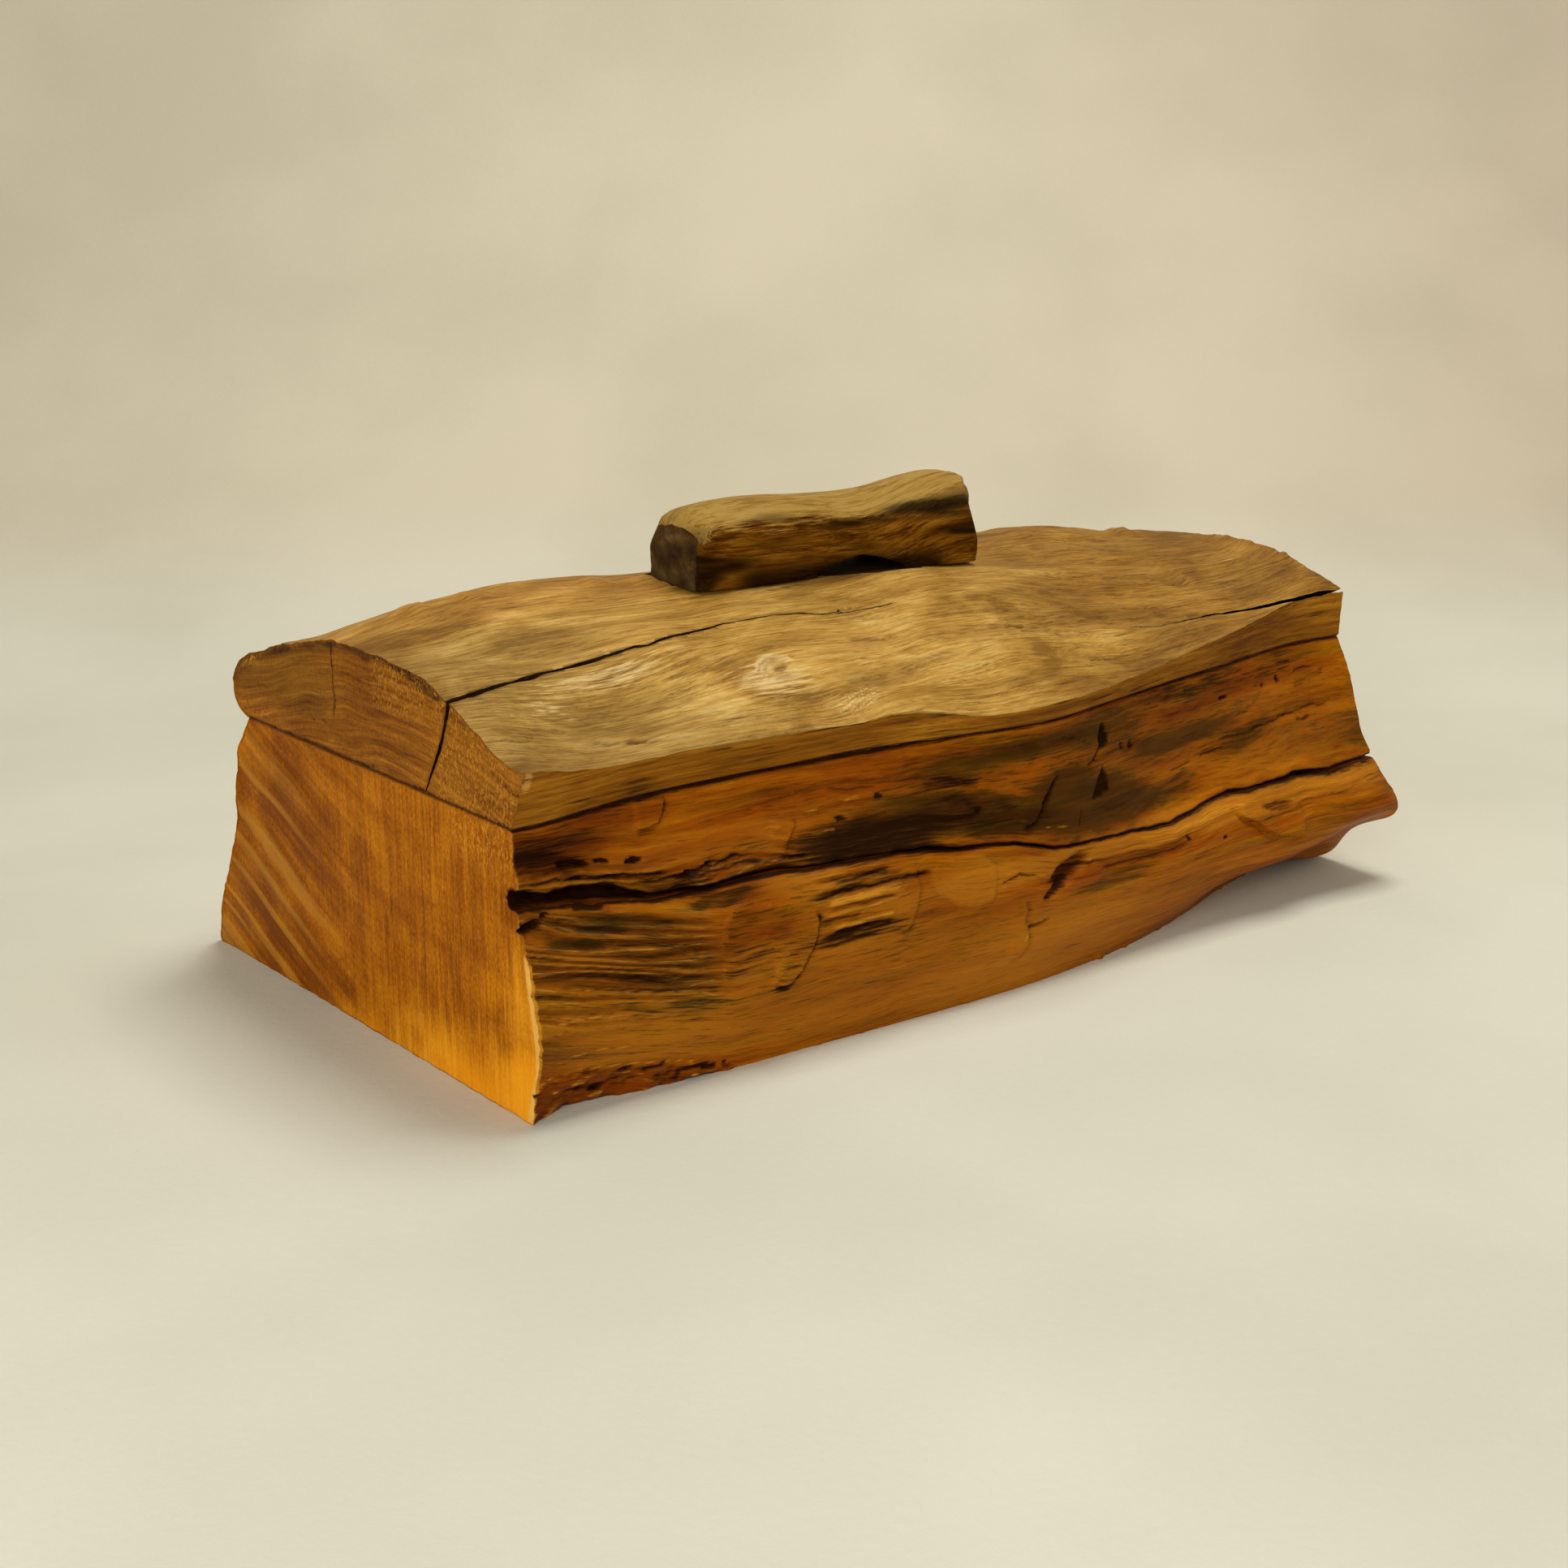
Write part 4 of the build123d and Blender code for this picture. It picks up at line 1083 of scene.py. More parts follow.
def front_sheet(shell):
    """Adds the front grid and returns its point numbers, column by column from foot to seam."""
    low_share = np.linspace(0, 1, LOW_ROWS) ** 0.85
    high_share = np.linspace(0, 1, HIGH_ROWS)
    v_low = lip_low[:, None] * low_share
    v_high = lip_high[:, None] + (seam - lip_high[:, None]) * high_share
    v = np.concatenate([v_low, v_high], 1)
    v[:, -1] = seam
    u = np.broadcast_to(u_line[:, None], v.shape)
    skin = carve_front(u, v)
    deep = lookup(front_table, u, v) - skin.out
    # The lips of the shake and the edges at the seam and the foot are rounded off
    lips = np.minimum(abs(v - lip_low[:, None]), abs(v - lip_high[:, None]))
    deep = deep + 0.9 * unit(1 - lips / 1.4) ** 2
    roll_width = np.interp(u, [0, 15, 40, 110, 150, length], [0.9, 1.0, 1.8, 1.6, 1.0, 1.0])
    top_roll = unit(1 - (seam - v) / roll_width) ** 1.5
    deep = deep + 0.8 * roll_width * top_roll * (1 + 0.4 * grain(u / 3, v, seed=61, octaves=2))
    deep = deep + 0.2 * unit(1 - v / 0.9) ** 2
    # The two upright edges are chipped: the end columns draw in by uneven amounts
    chips = 0.35 + 0.6 * unit(grain(v / 5.0, 0.5, seed=65, octaves=3))
    from_end = np.minimum(u, length - u)
    inward = chips * unit(1 - from_end / 1.4)
    shift = np.where(u < length / 2, inward, -inward)
    deep = deep + 0.25 * unit(1 - from_end / 0.9) ** 2
    points = np.stack([left + u + shift, deep, v], -1)
    stains = {name: value.copy() for name, value in skin.stains.items()}
    # painted shade on the lips of the shake and in the groove at the seam
    lip_shade = unit(1 - lips / 0.8)
    stains["dark"] = unit(stains["dark"] + 0.8 * lip_shade + 1.9 * top_roll)
    # painted highlight along the left upright edge, low down
    corner = soft((1.8 - u) / 1.0) * soft((48 - v) / 8)
    stains["pale"] = unit(stains["pale"] + 0.9 * corner)
    # Walls of the shake, from the lower lip in to the root and out to the upper lip
    inward = np.linspace(0, 1, WALL_ROWS + 1)[1:]
    floor = lip_low[:, None] + (lip_middle - lip_low)[:, None] * inward ** 6 * 0.98
    roof = lip_high[:, None] + (lip_middle - lip_high)[:, None] * inward ** 6 * 0.98
    knots = grain(u_line[:, None] / 3, inward * 4, seed=63, octaves=2)
    reach_in = slot_deep[:, None] * np.interp(u_line, [0, 9], [0.45, 1])[:, None] * inward
    floor_y = deep[:, LOW_ROWS - 1][:, None] + reach_in
    roof_y = deep[:, LOW_ROWS][:, None] + reach_in + 0.02
    slack = 0.12 * (lip_high - lip_low)[:, None] * knots * (1 - inward)
    x_lip = np.broadcast_to(points[:, LOW_ROWS, 0][:, None], floor.shape)
    lower = np.stack([x_lip, floor_y, floor + slack], -1)
    upper = np.stack([x_lip, roof_y, roof + slack], -1)
    walls = np.concatenate([lower, upper[:, ::-1]], 1)
    order = np.concatenate([points[:, :LOW_ROWS], walls, points[:, LOW_ROWS:]], 1)
    wall_shade_and_stains = {name: np.zeros(walls.shape[:2]) for name in stains}
    layers = np.concatenate([inward, 2 + inward]) * 3
    layered = 0.35 * grain(u_line[:, None] / 14, layers, seed=64, octaves=2)
    # painted shade on the walls of the shake, darker further in and darkest under the roof; the red
    # is the wood's colour
    shade = np.concatenate([0.45 + 0.5 * inward, 0.75 + 0.25 * inward])
    wall_shade_and_stains["dark"] += unit(shade + layered)
    wall_shade_and_stains["red"] += 0.9
    merged = {name: np.concatenate([value[:, :LOW_ROWS], wall_shade_and_stains[name], value[:, LOW_ROWS:]], 1)
              for name, value in stains.items()}
    order[..., 1] = np.clip(order[..., 1], body_low[1] + 0.01, None)
    return shell.add(order, merged)

# %% [markdown]
# ## The other faces of the block
#
# The back is natural too: rough, and leaning out to the foot. Nobody drew marks for it, so noise
# alone carves it, on a grid that is twice as coarse as the front's.
# %% Back of the box
def rear_sheet(shell, step=1.5, rows=56):
    """Adds the back grid, coarser than the front."""
    along = np.linspace(0, length, int(length / step) + 1)
    up = np.linspace(0, seam, rows)
    u, v = np.meshgrid(along, up, indexing="ij")
    z = np.clip(v, ray_inset, seam - ray_inset)
    base = soften(probe("box_body", clear_of_ends(u), far_off, z, (0, -1, 0), 1), 3)
    coarse = grain(u / 30, v / 4 + 0.6 * grain(u / 40, v / 20, seed=71), seed=73, octaves=3)
    fine = grain(u / 9, v / 1.6, seed=75, octaves=2)
    rings = grain(0.3, (v + 4 * grain(u / 80, 0.5, seed=77)) / 4.5, seed=78, octaves=2)
    out = -0.7 + 0.7 * coarse + 0.2 * fine + 0.5 * rings
    edges = unit(1 - np.minimum(v, seam - v) / 1.5) ** 2
    out = out - 0.5 * edges
    points = np.stack([left + u, np.clip(base + out, None, body_high[1] - 0.01), v], -1)
    dark = unit(-coarse - 0.2) * 0.4 + 0.4 * unit(-rings)
    # painted shade along the edge at the seam
    dark = dark + 0.5 * edges * (v > seam / 2)
    pale = unit(coarse - 0.45) * 0.5
    red = unit(grain(u / 40, v / 10, seed=79, octaves=2)) * 0.7
    return shell.add(points, {"dark": dark, "pale": pale, "red": red, "flow": v})

# %% [markdown]
# The ends were sawn and sanded. The growth rings stand as soft ripples on them, level in front and
# rising to the back. The relief can be asked for any place of an end, so that the triangles which
# fill the end get their points from it. Where the face's crevices reach the end, and along the
# seam, it is darkened with painted shade; the low front of the left end gets a painted highlight
# and a painted golden glow of light.
# %% Ends of the box
def bridge(a, b, count):
    """Points strictly between two points, evenly spaced."""
    shares = np.linspace(0, 1, count + 2)[1:-1, None]
    return a + (b - a) * shares


def end_run(a, b, count, side, seed, depth):
    """The slightly broken edge of an end, from the front corner to the rear one."""
    run = bridge(a, b, count)
    taper = np.minimum(np.arange(1, count + 1), np.arange(count, 0, -1)) / 6
    ragged = depth * (1 + 0.5 * grain(run[:, 1] / 3, 0.5, seed=seed, octaves=2))
    target = (left if side < 0 else right) - side * ragged
    run[:, 0] += (target - run[:, 0]) * np.clip(taper, 0.08, 1)
    return run


def ring_phase(y, z):
    """Millimetres across the growth rings of the end: level in front, rising towards the back."""
    t = np.clip(y - 60, 0, 50)
    return z - 0.15 * (y - 60) - 0.003 * t ** 2 - 0.30 * np.clip(y - 110, 0, None)


# where the front's crevices reach the end, the end gets painted shade
END_NOTCHES = ((69.5, 66.3, 2.5), (61, 56, 3.0), (53, 50.4, 3.5))  # from, to, how deep


def end_relief(flat, side):
    """Ripples of the rings and fine saw marks on an end, and their stains."""
    y, z = flat[:, 0] - foot_front, flat[:, 1]
    phase = ring_phase(y, z) + 1.2 * grain(y / 30, z / 20, seed=81, octaves=2)
    rings = grain(phase / 4.6, y / 120, seed=82, octaves=2)
    strength = 0.08 + 0.92 * soft((y - 70) / 70)
    saw = grain(y / 1.4, z / 12, seed=83, octaves=2) * soft((70 - y) / 50)
    inward = 0.45 - 0.32 * strength * rings + 0.07 * saw
    inward = inward + 0.06 * grain(y / 3, z / 3, seed=85, octaves=2)
    dark = unit(-rings - 0.15) * strength * 0.3
    # painted shade along the seam
    dark = dark + 0.5 * soft((1.4 - (seam - z)) / 1.2)
    from_front = flat[:, 0] - lookup(front_table, 0 * y, z)
    for top, low, deep in END_NOTCHES:
        middle, half = (top + low) / 2, (top - low) / 2
        reach_in = deep * unit(1 - ((z - middle) / half) ** 2)
        dark = dark + soft((reach_in - from_front) / 1.5)
    # painted highlight along the front edge of the left end, low down
    pale = soft((3.0 - from_front) / 1.6) * soft((50 - z) / 8) * (side < 0)
    bands = unit(0.5 + rings + 0.3 * grain(phase / 1.7, y / 90, seed=87)) * strength
    # a painted golden glow of light on the low front corner of the left end and along its front
    painted_glow = soft((38 - z - 0.25 * y + 5 * grain(y / 12, z / 12, seed=86, octaves=2)) / 36)
    painted_glow = np.maximum(painted_glow, 0.5 * soft((19 - y) / 18) * soft((66 - z) / 30)) * (side < 0)
    flecked = soft((46 - y) / 20) * soft((z - 58) / 12)
    stains = {"dark": unit(dark), "pale": unit(pale), "gold": painted_glow,
              "flow": phase, "flecked": flecked, "roped": bands}
    return np.clip(inward, 0.02, None), stains


def fill_end(shell, outline, side, relief, spacing):
    """Fills a sawn end inside its outline, with its points set in and stained by the relief."""
    def place(flat):
        inward, _ = relief(flat, side)
        plane_x = left if side < 0 else right
        return np.stack([plane_x - side * inward, flat[:, 0], flat[:, 1]], -1)

    shell.fill([outline], [1, 2], place, spacing, "end", lambda flat: relief(flat, side)[1])

# %% [markdown]
# Inside, the hollow and the ledge for the base are plain straight cuts, so they are built from
# rounded outlines. Rays find the size of the hollow, and the base panel's box with a little play
# gives the ledge.
# %% Hollow, rim and foot
IN_THE_HOLLOW = (0, -4, 40)
HOLLOW_RADIUS = 8.0
PANEL_PLAY = 0.3
WALL_RINGS = 12


def rounded_outline(x0, x1, y0, y1, radius, arc_steps=8, run_step=12.0):
    """A rectangle with rounded corners, as flat points that run anticlockwise."""
    points = []
    corners = [(x1 - radius, y0 + radius, -90), (x1 - radius, y1 - radius, 0),
               (x0 + radius, y1 - radius, 90), (x0 + radius, y0 + radius, 180)]
    for k, (cx, cy, start) in enumerate(corners):
        for step in range(arc_steps + 1):
            turn = math.radians(start + 90 * step / arc_steps)
            points.append((cx + radius * math.cos(turn), cy + radius * math.sin(turn)))
        nx, ny, turn = corners[(k + 1) % 4]
        turn = math.radians(turn)
        target = np.array([nx + radius * math.cos(turn), ny + radius * math.sin(turn)])
        here = np.array(points[-1])
        count = [int((y1 - y0) / run_step), int((x1 - x0) / run_step)][k % 2]
        points.extend(map(tuple, bridge(here, target, count)))
    return np.array(points)


def fill_level(shell, outlines, height, spacing):
    """Fills a level, sawn face between its outlines."""
    shell.fill(outlines, [0, 1], lambda p: np.column_stack([p, np.full(len(p), height)]), spacing,
               "sawn")


def hollow_rings(shell):
    """The rings of points down the hollow's wall, out under the ledge and down to the foot."""
    walls = [reach("box_body", IN_THE_HOLLOW, direction)
             for direction in ((-1, 0, 0), (1, 0, 0), (0, -1, 0), (0, 1, 0))]
    panel_low, panel_high = in_mm(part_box("base_panel"))
    mouth = rounded_outline(walls[0][0], walls[1][0], walls[2][1], walls[3][1], HOLLOW_RADIUS)
    ledge = rounded_outline(panel_low[0] - PANEL_PLAY, panel_high[0] + PANEL_PLAY,
                            panel_low[1] - PANEL_PLAY, panel_high[1] + PANEL_PLAY, HOLLOW_RADIUS)
    print("outlines of", len(mouth), "and", len(ledge), "points")
    if len(mouth) != len(ledge):
        ledge = match_outline(mouth, ledge)
    shelf = panel_high[2]
    rings = []
    for height in np.linspace(seam, shelf, WALL_RINGS):
        wobble = 0.12 * grain(mouth[:, 0] / 14, mouth[:, 1] / 14, height / 9, seed=91, octaves=2)
        pull = 1 - wobble[:, None] / 60 if shelf < height < seam else 1.0
        rings.append(shell.add(np.column_stack([mouth * pull, np.full(len(mouth), height)])))
    for height in (shelf, 0.0):
        rings.append(shell.add(np.column_stack([ledge, np.full(len(ledge), height)])))
    return rings


EDGE_POINTS = 120


def body_mesh():
    """The whole hollowed block as one closed shell."""
    shell = Shell(["front", "end", "sawn", "back"])
    front, rear = front_sheet(shell), rear_sheet(shell)
    shell.weave(front, "front")
    shell.weave(rear, "back")
    every = np.concatenate(shell.points)
    top_runs, low_runs = {}, {}
    for side, column in ((-1, 0), (1, -1)):
        a, b = every[front[column, -1]], every[rear[column, -1]]
        # painted shade along the top edge of each end, at the seam
        top_runs[side] = shell.add(end_run(a, b, EDGE_POINTS, side, 67, 0.7),
                                   {"dark": np.full(EDGE_POINTS, 0.9)})
        a, b = every[front[column, 0]], every[rear[column, 0]]
        low_runs[side] = shell.add(end_run(a, b, EDGE_POINTS, side, 69, 0.6))
        outline = (list(front[column]) + list(top_runs[side]) + list(rear[column][::-1])
                   + list(low_runs[side][::-1]))
        fill_end(shell, outline, side, end_relief, 1.0 if side < 0 else 1.7)
    rings = hollow_rings(shell)
    shell.weave(np.array(rings), "sawn", closed=True)
    for row, runs, ring, height, spacing in ((-1, top_runs, rings[0], seam, 3.5),
                                             (0, low_runs, rings[-1], 0.0, 5.0)):
        outline = (list(front[:, row]) + list(runs[1]) + list(rear[::-1, row])
                   + list(runs[-1][::-1]))
        fill_level(shell, [outline, ring], height, spacing)
    return shell


def match_outline(model, other):
    """The other outline with as many points as the model, spread by angle."""
    turn = np.arctan2(model[:, 1] - model[:, 1].mean(), model[:, 0] - model[:, 0].mean())
    centre = (other.min(0) + other.max(0)) / 2
    angle = np.arctan2(other[:, 1] - centre[1], other[:, 0] - centre[0])
    order = np.argsort(angle)
    xs = np.interp(turn, angle[order], other[order, 0], period=2 * math.pi)
    ys = np.interp(turn, angle[order], other[order, 1], period=2 * math.pi)
    return np.column_stack([xs, ys])


body_shell = body_mesh()

# %% [markdown]
# ## The oiled, reddish wood of the box
#
# Oiled cherry is saturated: orange-brown, almost no blue in it. The base colour comes from grain
# noise stretched along the log, and the painted stains pull it towards olive, red, pale fibre or
# the near-black of pits. The pale and the near-black also carry painted highlights and painted
# shade. The same noise lifts the surface slightly, so light catches the fibres.
# %% Grain, stains, cracks and ropes as shader helpers
# the first colour darkens dark wood and paints shade in pits, grooves and seams; the second is the
# painted highlight on crack edges
PIT_BROWN, HIGHLIGHT_GOLD = (0.012, 0.0025, 0.0003), (0.62, 0.27, 0.02)


def laid(run, along, sides, across):
    """A place for noise that is drawn out along the fibres."""
    inputs = {0: run * along}
    for place, side in enumerate(sides, 1):
        inputs[place] = side * across
    return run.node("ShaderNodeCombineXYZ", None, inputs)


def stained_and_shaded(colour, painted, fibres, olive=(0.24, 0.33, 1.0), red=(0.64, 0.44, 0.4),
            pale=(0.62, 0.26, 0.018), gold=(0.50, 0.185, 0.009), dark=PIT_BROWN, veil=0.35):
    """A wood colour with the painted stains over it, frayed along the fibres."""
    fray = (fibres - 0.5) * 2.6
    golden = (painted("gold") + fray * 0.2).spread(0.1, 1.0) * 0.7
    colour = colour.mixed((*gold, 1), golden.clamped())
    aged = (painted("olive") * 1.35 + fray * 1.0).spread(0.12, 1.0) * 0.95
    colour = colour.times((*olive, 1), aged.clamped())
    reddened = (painted("red") + fray * 0.35).spread(0.12, 1.0) * 0.8
    colour = colour.times((*red, 1), reddened.clamped())
    # pale: pale fibres and wear, and painted highlights
    lightened = (painted("pale") * 1.5 + fray - 0.62).spread(0.0, 0.75) * 0.8
    colour = colour.mixed((*pale, 1), lightened.clamped())
    colour = colour.times(fibres.ramp([(0.36, (0.60, 0.50, 0.38)), (0.60, (1, 1, 1))]), veil)
    # dark: dark wood, and painted shade in hollows, grooves and seams
    darkened = (painted("dark") * 1.25 + fray * 0.7 - 0.12).spread(0.0, 0.9) * 0.96
    return colour.mixed((*dark, 1), darkened.clamped())


def with_cracks(colour, painted, fray, dark=PIT_BROWN, rim_highlight=HIGHLIGHT_GOLD):
    """Thin cracks drawn at the painted distance from their middle line, with a light edge."""
    gap = painted("crack") + (fray - 0.5) * 0.9
    there = painted("cracked").spread(0.08, 0.7)
    line = 1 - abs(gap).spread(0.10, 0.42)
    edge = 1 - abs(gap - 0.65).spread(0.05, 0.4)
    # a painted highlight along one edge of each crack
    colour = colour.mixed((*rim_highlight, 1), (edge * there * 0.22).clamped())
    return colour.mixed((*dark, 1), (line * there * 0.95).clamped())


ROPE_TURN, HAIR_TURN = 6.283, 19.0  # radians for each wave: one strand, or three hair lines


def with_ropes(colour, painted, x, sides):
    """Long wavy strands: dark olive troughs, tan crests and hair-thin light lines on them."""
    drift = laid(x, 0.05, sides, 0.25).noise(1.0, 3, 0.6)
    wave = (painted("waves") * ROPE_TURN + (drift - 0.5) * 3.0).sine()
    hairs = (painted("waves") * HAIR_TURN + (drift - 0.5) * 16.0).sine()
    there = painted("roped")
    # painted shade in the troughs of the strands, dark olive-brown
    trough = (0 - wave).spread(-0.2, 0.9) * there * 0.6
    colour = colour.mixed((0.045, 0.020, 0.0015, 1), trough.clamped())
    # painted highlight on the crests, tan
    crest = wave.spread(0.0, 1.0) * there * 0.6
    colour = colour.mixed((0.33, 0.145, 0.011, 1), crest.clamped())
    # hair-thin painted highlights on the crests
    lit = hairs.spread(0.55, 1.0) * wave.spread(-0.3, 0.7) * drift.spread(0.46, 0.58)
    return colour.mixed((0.55, 0.28, 0.04, 1), (lit * there * 0.6).clamped())


def with_flecks(colour, painted, spot, gold=(0.72, 0.30, 0.02)):
    """Short golden flecks, close together, where the saw tore the pores open."""
    specks = spot.stretched((1.0, 1.0, 0.55)).noise(1.5, 3, 0.7).spread(0.52, 0.60)
    return colour.mixed((*gold, 1), (specks * painted("flecked").spread(0.1, 0.9) * 0.6).clamped())


print("stains the finishes read:", ", ".join(STAINS))

# %% [markdown]
# The front mixes three noises that are drawn out along the log: broad bands, streaks and single
# fibres. Oiled wood has a dull, warm gloss, so the highlights are weak and tinted.
# %% Finish of the front
def front_paint(spot, painted):
    x, y, z = spot.parts()
    sides = (painted("flow"), y * 0.3)
    broad = laid(x, 0.013, sides, 0.10).noise(1.0, 3, 0.55)
    streaks = laid(x, 0.030, sides, 0.42).noise(1.0, 4, 0.6, 0.3)
    fibres = laid(x, 0.090, sides, 1.7).noise(1.0, 4, 0.65)
    tint = laid(x, 0.020, sides, 0.22).stretched((1, 1, 1), move=(7, 3, 5)).noise(1.0, 3, 0.55)
    level = broad * 0.30 + streaks * 0.42 + fibres * 0.28
    colour = level.ramp([(0.38, (0.15, 0.030, 0.0004)), (0.45, (0.26, 0.062, 0.0006)),
                         (0.53, (0.36, 0.098, 0.001)), (0.63, (0.51, 0.165, 0.002))])
    colour = colour.times((0.66, 0.92, 1.0, 1), tint.spread(0.50, 0.66) * 0.6)
    colour = colour.times((0.95, 0.74, 0.6, 1), (1 - tint).spread(0.52, 0.66) * 0.5)
    colour = with_ropes(colour, painted, x, sides)
    fray = laid(x, 0.25, sides, 0.6).noise(1.0, 3, 0.6)
    colour = with_cracks(stained_and_shaded(colour, painted, fibres), painted, fray)
    return {"Base Color": colour, "Specular IOR Level": 0.09, "Specular Tint": (1.0, 0.72, 0.42, 1),
            "Roughness": (0.36 + streaks * 0.25 + painted("dark") * 0.3).clamped(),
            "Normal": bumped(fibres * 0.6 + streaks * 0.4, 0.5, 0.9)}

# %% [markdown]
# End grain is cut across the fibres, so it shows rings, pores and upright sanding streaks where
# the front has long fibres. The low front corner gets a painted golden glow of light, and the back
# is darker.
# %% Finish of the ends
def end_paint(spot, painted):
    x, y, z = spot.parts()
    upright = spot.stretched((0.3, 0.85, 0.04)).noise(1.0, 4, 0.65)
    blotch = spot.stretched((0.03, 0.04, 0.045)).noise(1.0, 4, 0.6, 0.4)
    pores = spot.stretched((1.0, 1.4, 0.8)).noise(1.0, 3, 0.6)
    rings = laid(y, 0.012, (painted("flow"), x * 0.1), 0.15).noise(1.0, 4, 0.6)
    rear = (y - foot_front).spread(50, 125)
    level = 0.5 + (upright - 0.5) * (0.5 - rear * 0.35) + (blotch - 0.5) * 0.45
    level = level + (pores - 0.5) * 0.4
    level = level + (rings - 0.5) * (rear * 0.5 + 0.15) - rear * (0.055 - z * 0.0004) + 0.015
    colour = level.ramp([(0.36, (0.20, 0.048, 0.0003)), (0.46, (0.30, 0.082, 0.0006)),
                         (0.54, (0.42, 0.130, 0.001)), (0.66, (0.60, 0.21, 0.003))])
    banded = (painted("roped") + (rings - 0.5) * 0.5).spread(0.3, 1.0) * 0.5
    colour = colour.mixed((0.60, 0.275, 0.028, 1), banded)
    # the colours of the painted glow of light
    lit = level.ramp([(0.38, (0.60, 0.17, 0.002)), (0.5, (0.85, 0.32, 0.006)),
                      (0.62, (1.0, 0.50, 0.03))])
    colour = colour.mixed(lit, (painted("gold") + (upright - 0.5) * 0.25).spread(0.05, 1.0) * 0.95)
    # here pale is the painted highlight of the front edge, gold the painted glow, and dark both the
    # rings and painted shade at the seam and crevices
    colour = stained_and_shaded(colour, painted, 0.5 + (upright - 0.5) * 0.22, pale=(0.86, 0.50, 0.12),
                     gold=(0.95, 0.36, 0.008), dark=(0.085, 0.022, 0.0006), veil=0.1)
    colour = with_flecks(colour, painted, spot)
    return {"Base Color": colour, "Specular IOR Level": 0.06, "Specular Tint": (1.0, 0.68, 0.36, 1),
            "Roughness": (0.42 + upright * 0.2).clamped(),
            "Normal": bumped(upright * 0.5 + pores * 0.5, 0.3, 0.7)}

# %% [markdown]
# The sawn inside is paler and plainer, with saw lines across the grain.
# %% Finish of the inside, and the finished body
def sawn_paint(spot, painted):
    lines = spot.stretched((0.03, 0.7, 0.5)).noise(1.0, 4, 0.6)
    cloud = spot.stretched((0.02, 0.05, 0.05)).noise(1.0, 3, 0.5)
    saw = spot.stretched((0.9, 0.03, 0.03), turn=(0, 0, 0.12)).noise(1.0, 2, 0.5)
    level = lines * 0.6 + cloud * 0.4
    colour = level.ramp([(0.36, (0.29, 0.105, 0.011)), (0.5, (0.44, 0.185, 0.024)),
                         (0.66, (0.56, 0.27, 0.050))])
    return {"Base Color": colour, "Specular IOR Level": 0.25,
            "Roughness": (0.5 + lines * 0.2).clamped(),
            "Normal": bumped(lines * 0.5 + saw * 0.5, 0.2, 0.5)}


front_face = finish("oiled_natural_face", front_paint)
end_face = finish("sanded_end_grain", end_paint)
sawn_face = finish("sawn_inside", sawn_paint)
body = body_shell.build("carved_body", [front_face, end_face, sawn_face, front_face])
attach(body, "box")
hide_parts("box_body")

# %% [markdown]
# ## The lid
#
# A slab off the top of the log, greyed by weather, with a narrow sawn strip along its front. The
# grid's columns start exactly on the arris between strip and top, so that the edge stays crisp.
# %% Measuring the lid
LID_STEP = 0.8


def lid_profile():
    """Along the lid: the front edge at the seam, the arris over it, and the rear edge."""
    along = np.linspace(0, length, COARSE_COLUMNS)
    x = clear_of_ends(along)[:, None]
    heights = np.arange(seam + ray_inset, seam + 20, 0.25)
    front = probe("lid_slab", x, -far_off, heights[None, :], (0, 1, 0), 1)
    corner = np.nanargmin(front[:, 20:], axis=1) + 20  # the arris is never in the lowest 5 mm
    arris_y = front[np.arange(len(along)), corner]
    back_heights = np.linspace(seam + ray_inset, seam + 14, 60)
    back = probe("lid_slab", x, far_off, back_heights[None, :], (0, -1, 0), 1)
    rows = np.stack([front[:, 0], arris_y, heights[corner] + 0.12, np.nanmax(back, axis=1),
                     back_heights[np.nanargmax(back, axis=1)]])
    return along, soften(rows, 6, axes=(1,))


lid_along, lid_rows = lid_profile()
lid_u = np.linspace(0, length, int(length / LID_STEP) + 1)
seam_y, arris_y, arris_z, rear_y, rear_z = (np.interp(lid_u, lid_along, row) for row in lid_rows)
print("arris from", round(arris_z.min(), 1), "to", round(arris_z.max(), 1), "mm up")

# %% [markdown]
# The handle stands in a pared bed, and both the bed and the checks would press dents into a
# measured top. So the top is measured without them and bridged by a curve that keeps the slope at
# each side. Both are cut again at the very end.
# %% The lid's top without the handle's bed
HANDLE_START = np.array([-61.0, -7.5, seam + 36.0])
HANDLE_LENGTH, HANDLE_WIDTH = 106.0, 26.0
HANDLE_DIP, HANDLE_HEADING = math.radians(1.6), math.radians(-2.7)
handle_axes = np.array(Euler((0, 0, HANDLE_HEADING)).to_matrix()
                       @ Euler((0, HANDLE_DIP, 0)).to_matrix())
BED_MARGIN = 3
TOP_ROWS = 71
CHECK_DROP = 1.2


def smooth_fill(places, values, good):
    """Fills the gaps of a row with a curve that keeps the slope at each side."""
    filled = np.interp(places, places[good], values[good])
    gaps = np.flatnonzero(~good)
    if len(gaps) == 0:
        return filled
    groups = np.split(gaps, np.flatnonzero(np.diff(gaps) > 1) + 1)
    for group in groups:
        a, b = group[0] - 1, group[-1] + 1
        if a < 2 or b > len(places) - 3:
            continue
        span = places[b] - places[a]
        slope_a = (filled[a] - filled[a - 2]) / (places[a] - places[a - 2]) * span
        slope_b = (filled[b + 2] - filled[b]) / (places[b + 2] - places[b]) * span
        t = (places[group] - places[a]) / span
        filled[group] = ((2 * t ** 3 - 3 * t ** 2 + 1) * filled[a]
                         + (t ** 3 - 2 * t ** 2 + t) * slope_a
                         + (3 * t ** 2 - 2 * t ** 3) * filled[b] + (t ** 3 - t ** 2) * slope_b)
    return filled


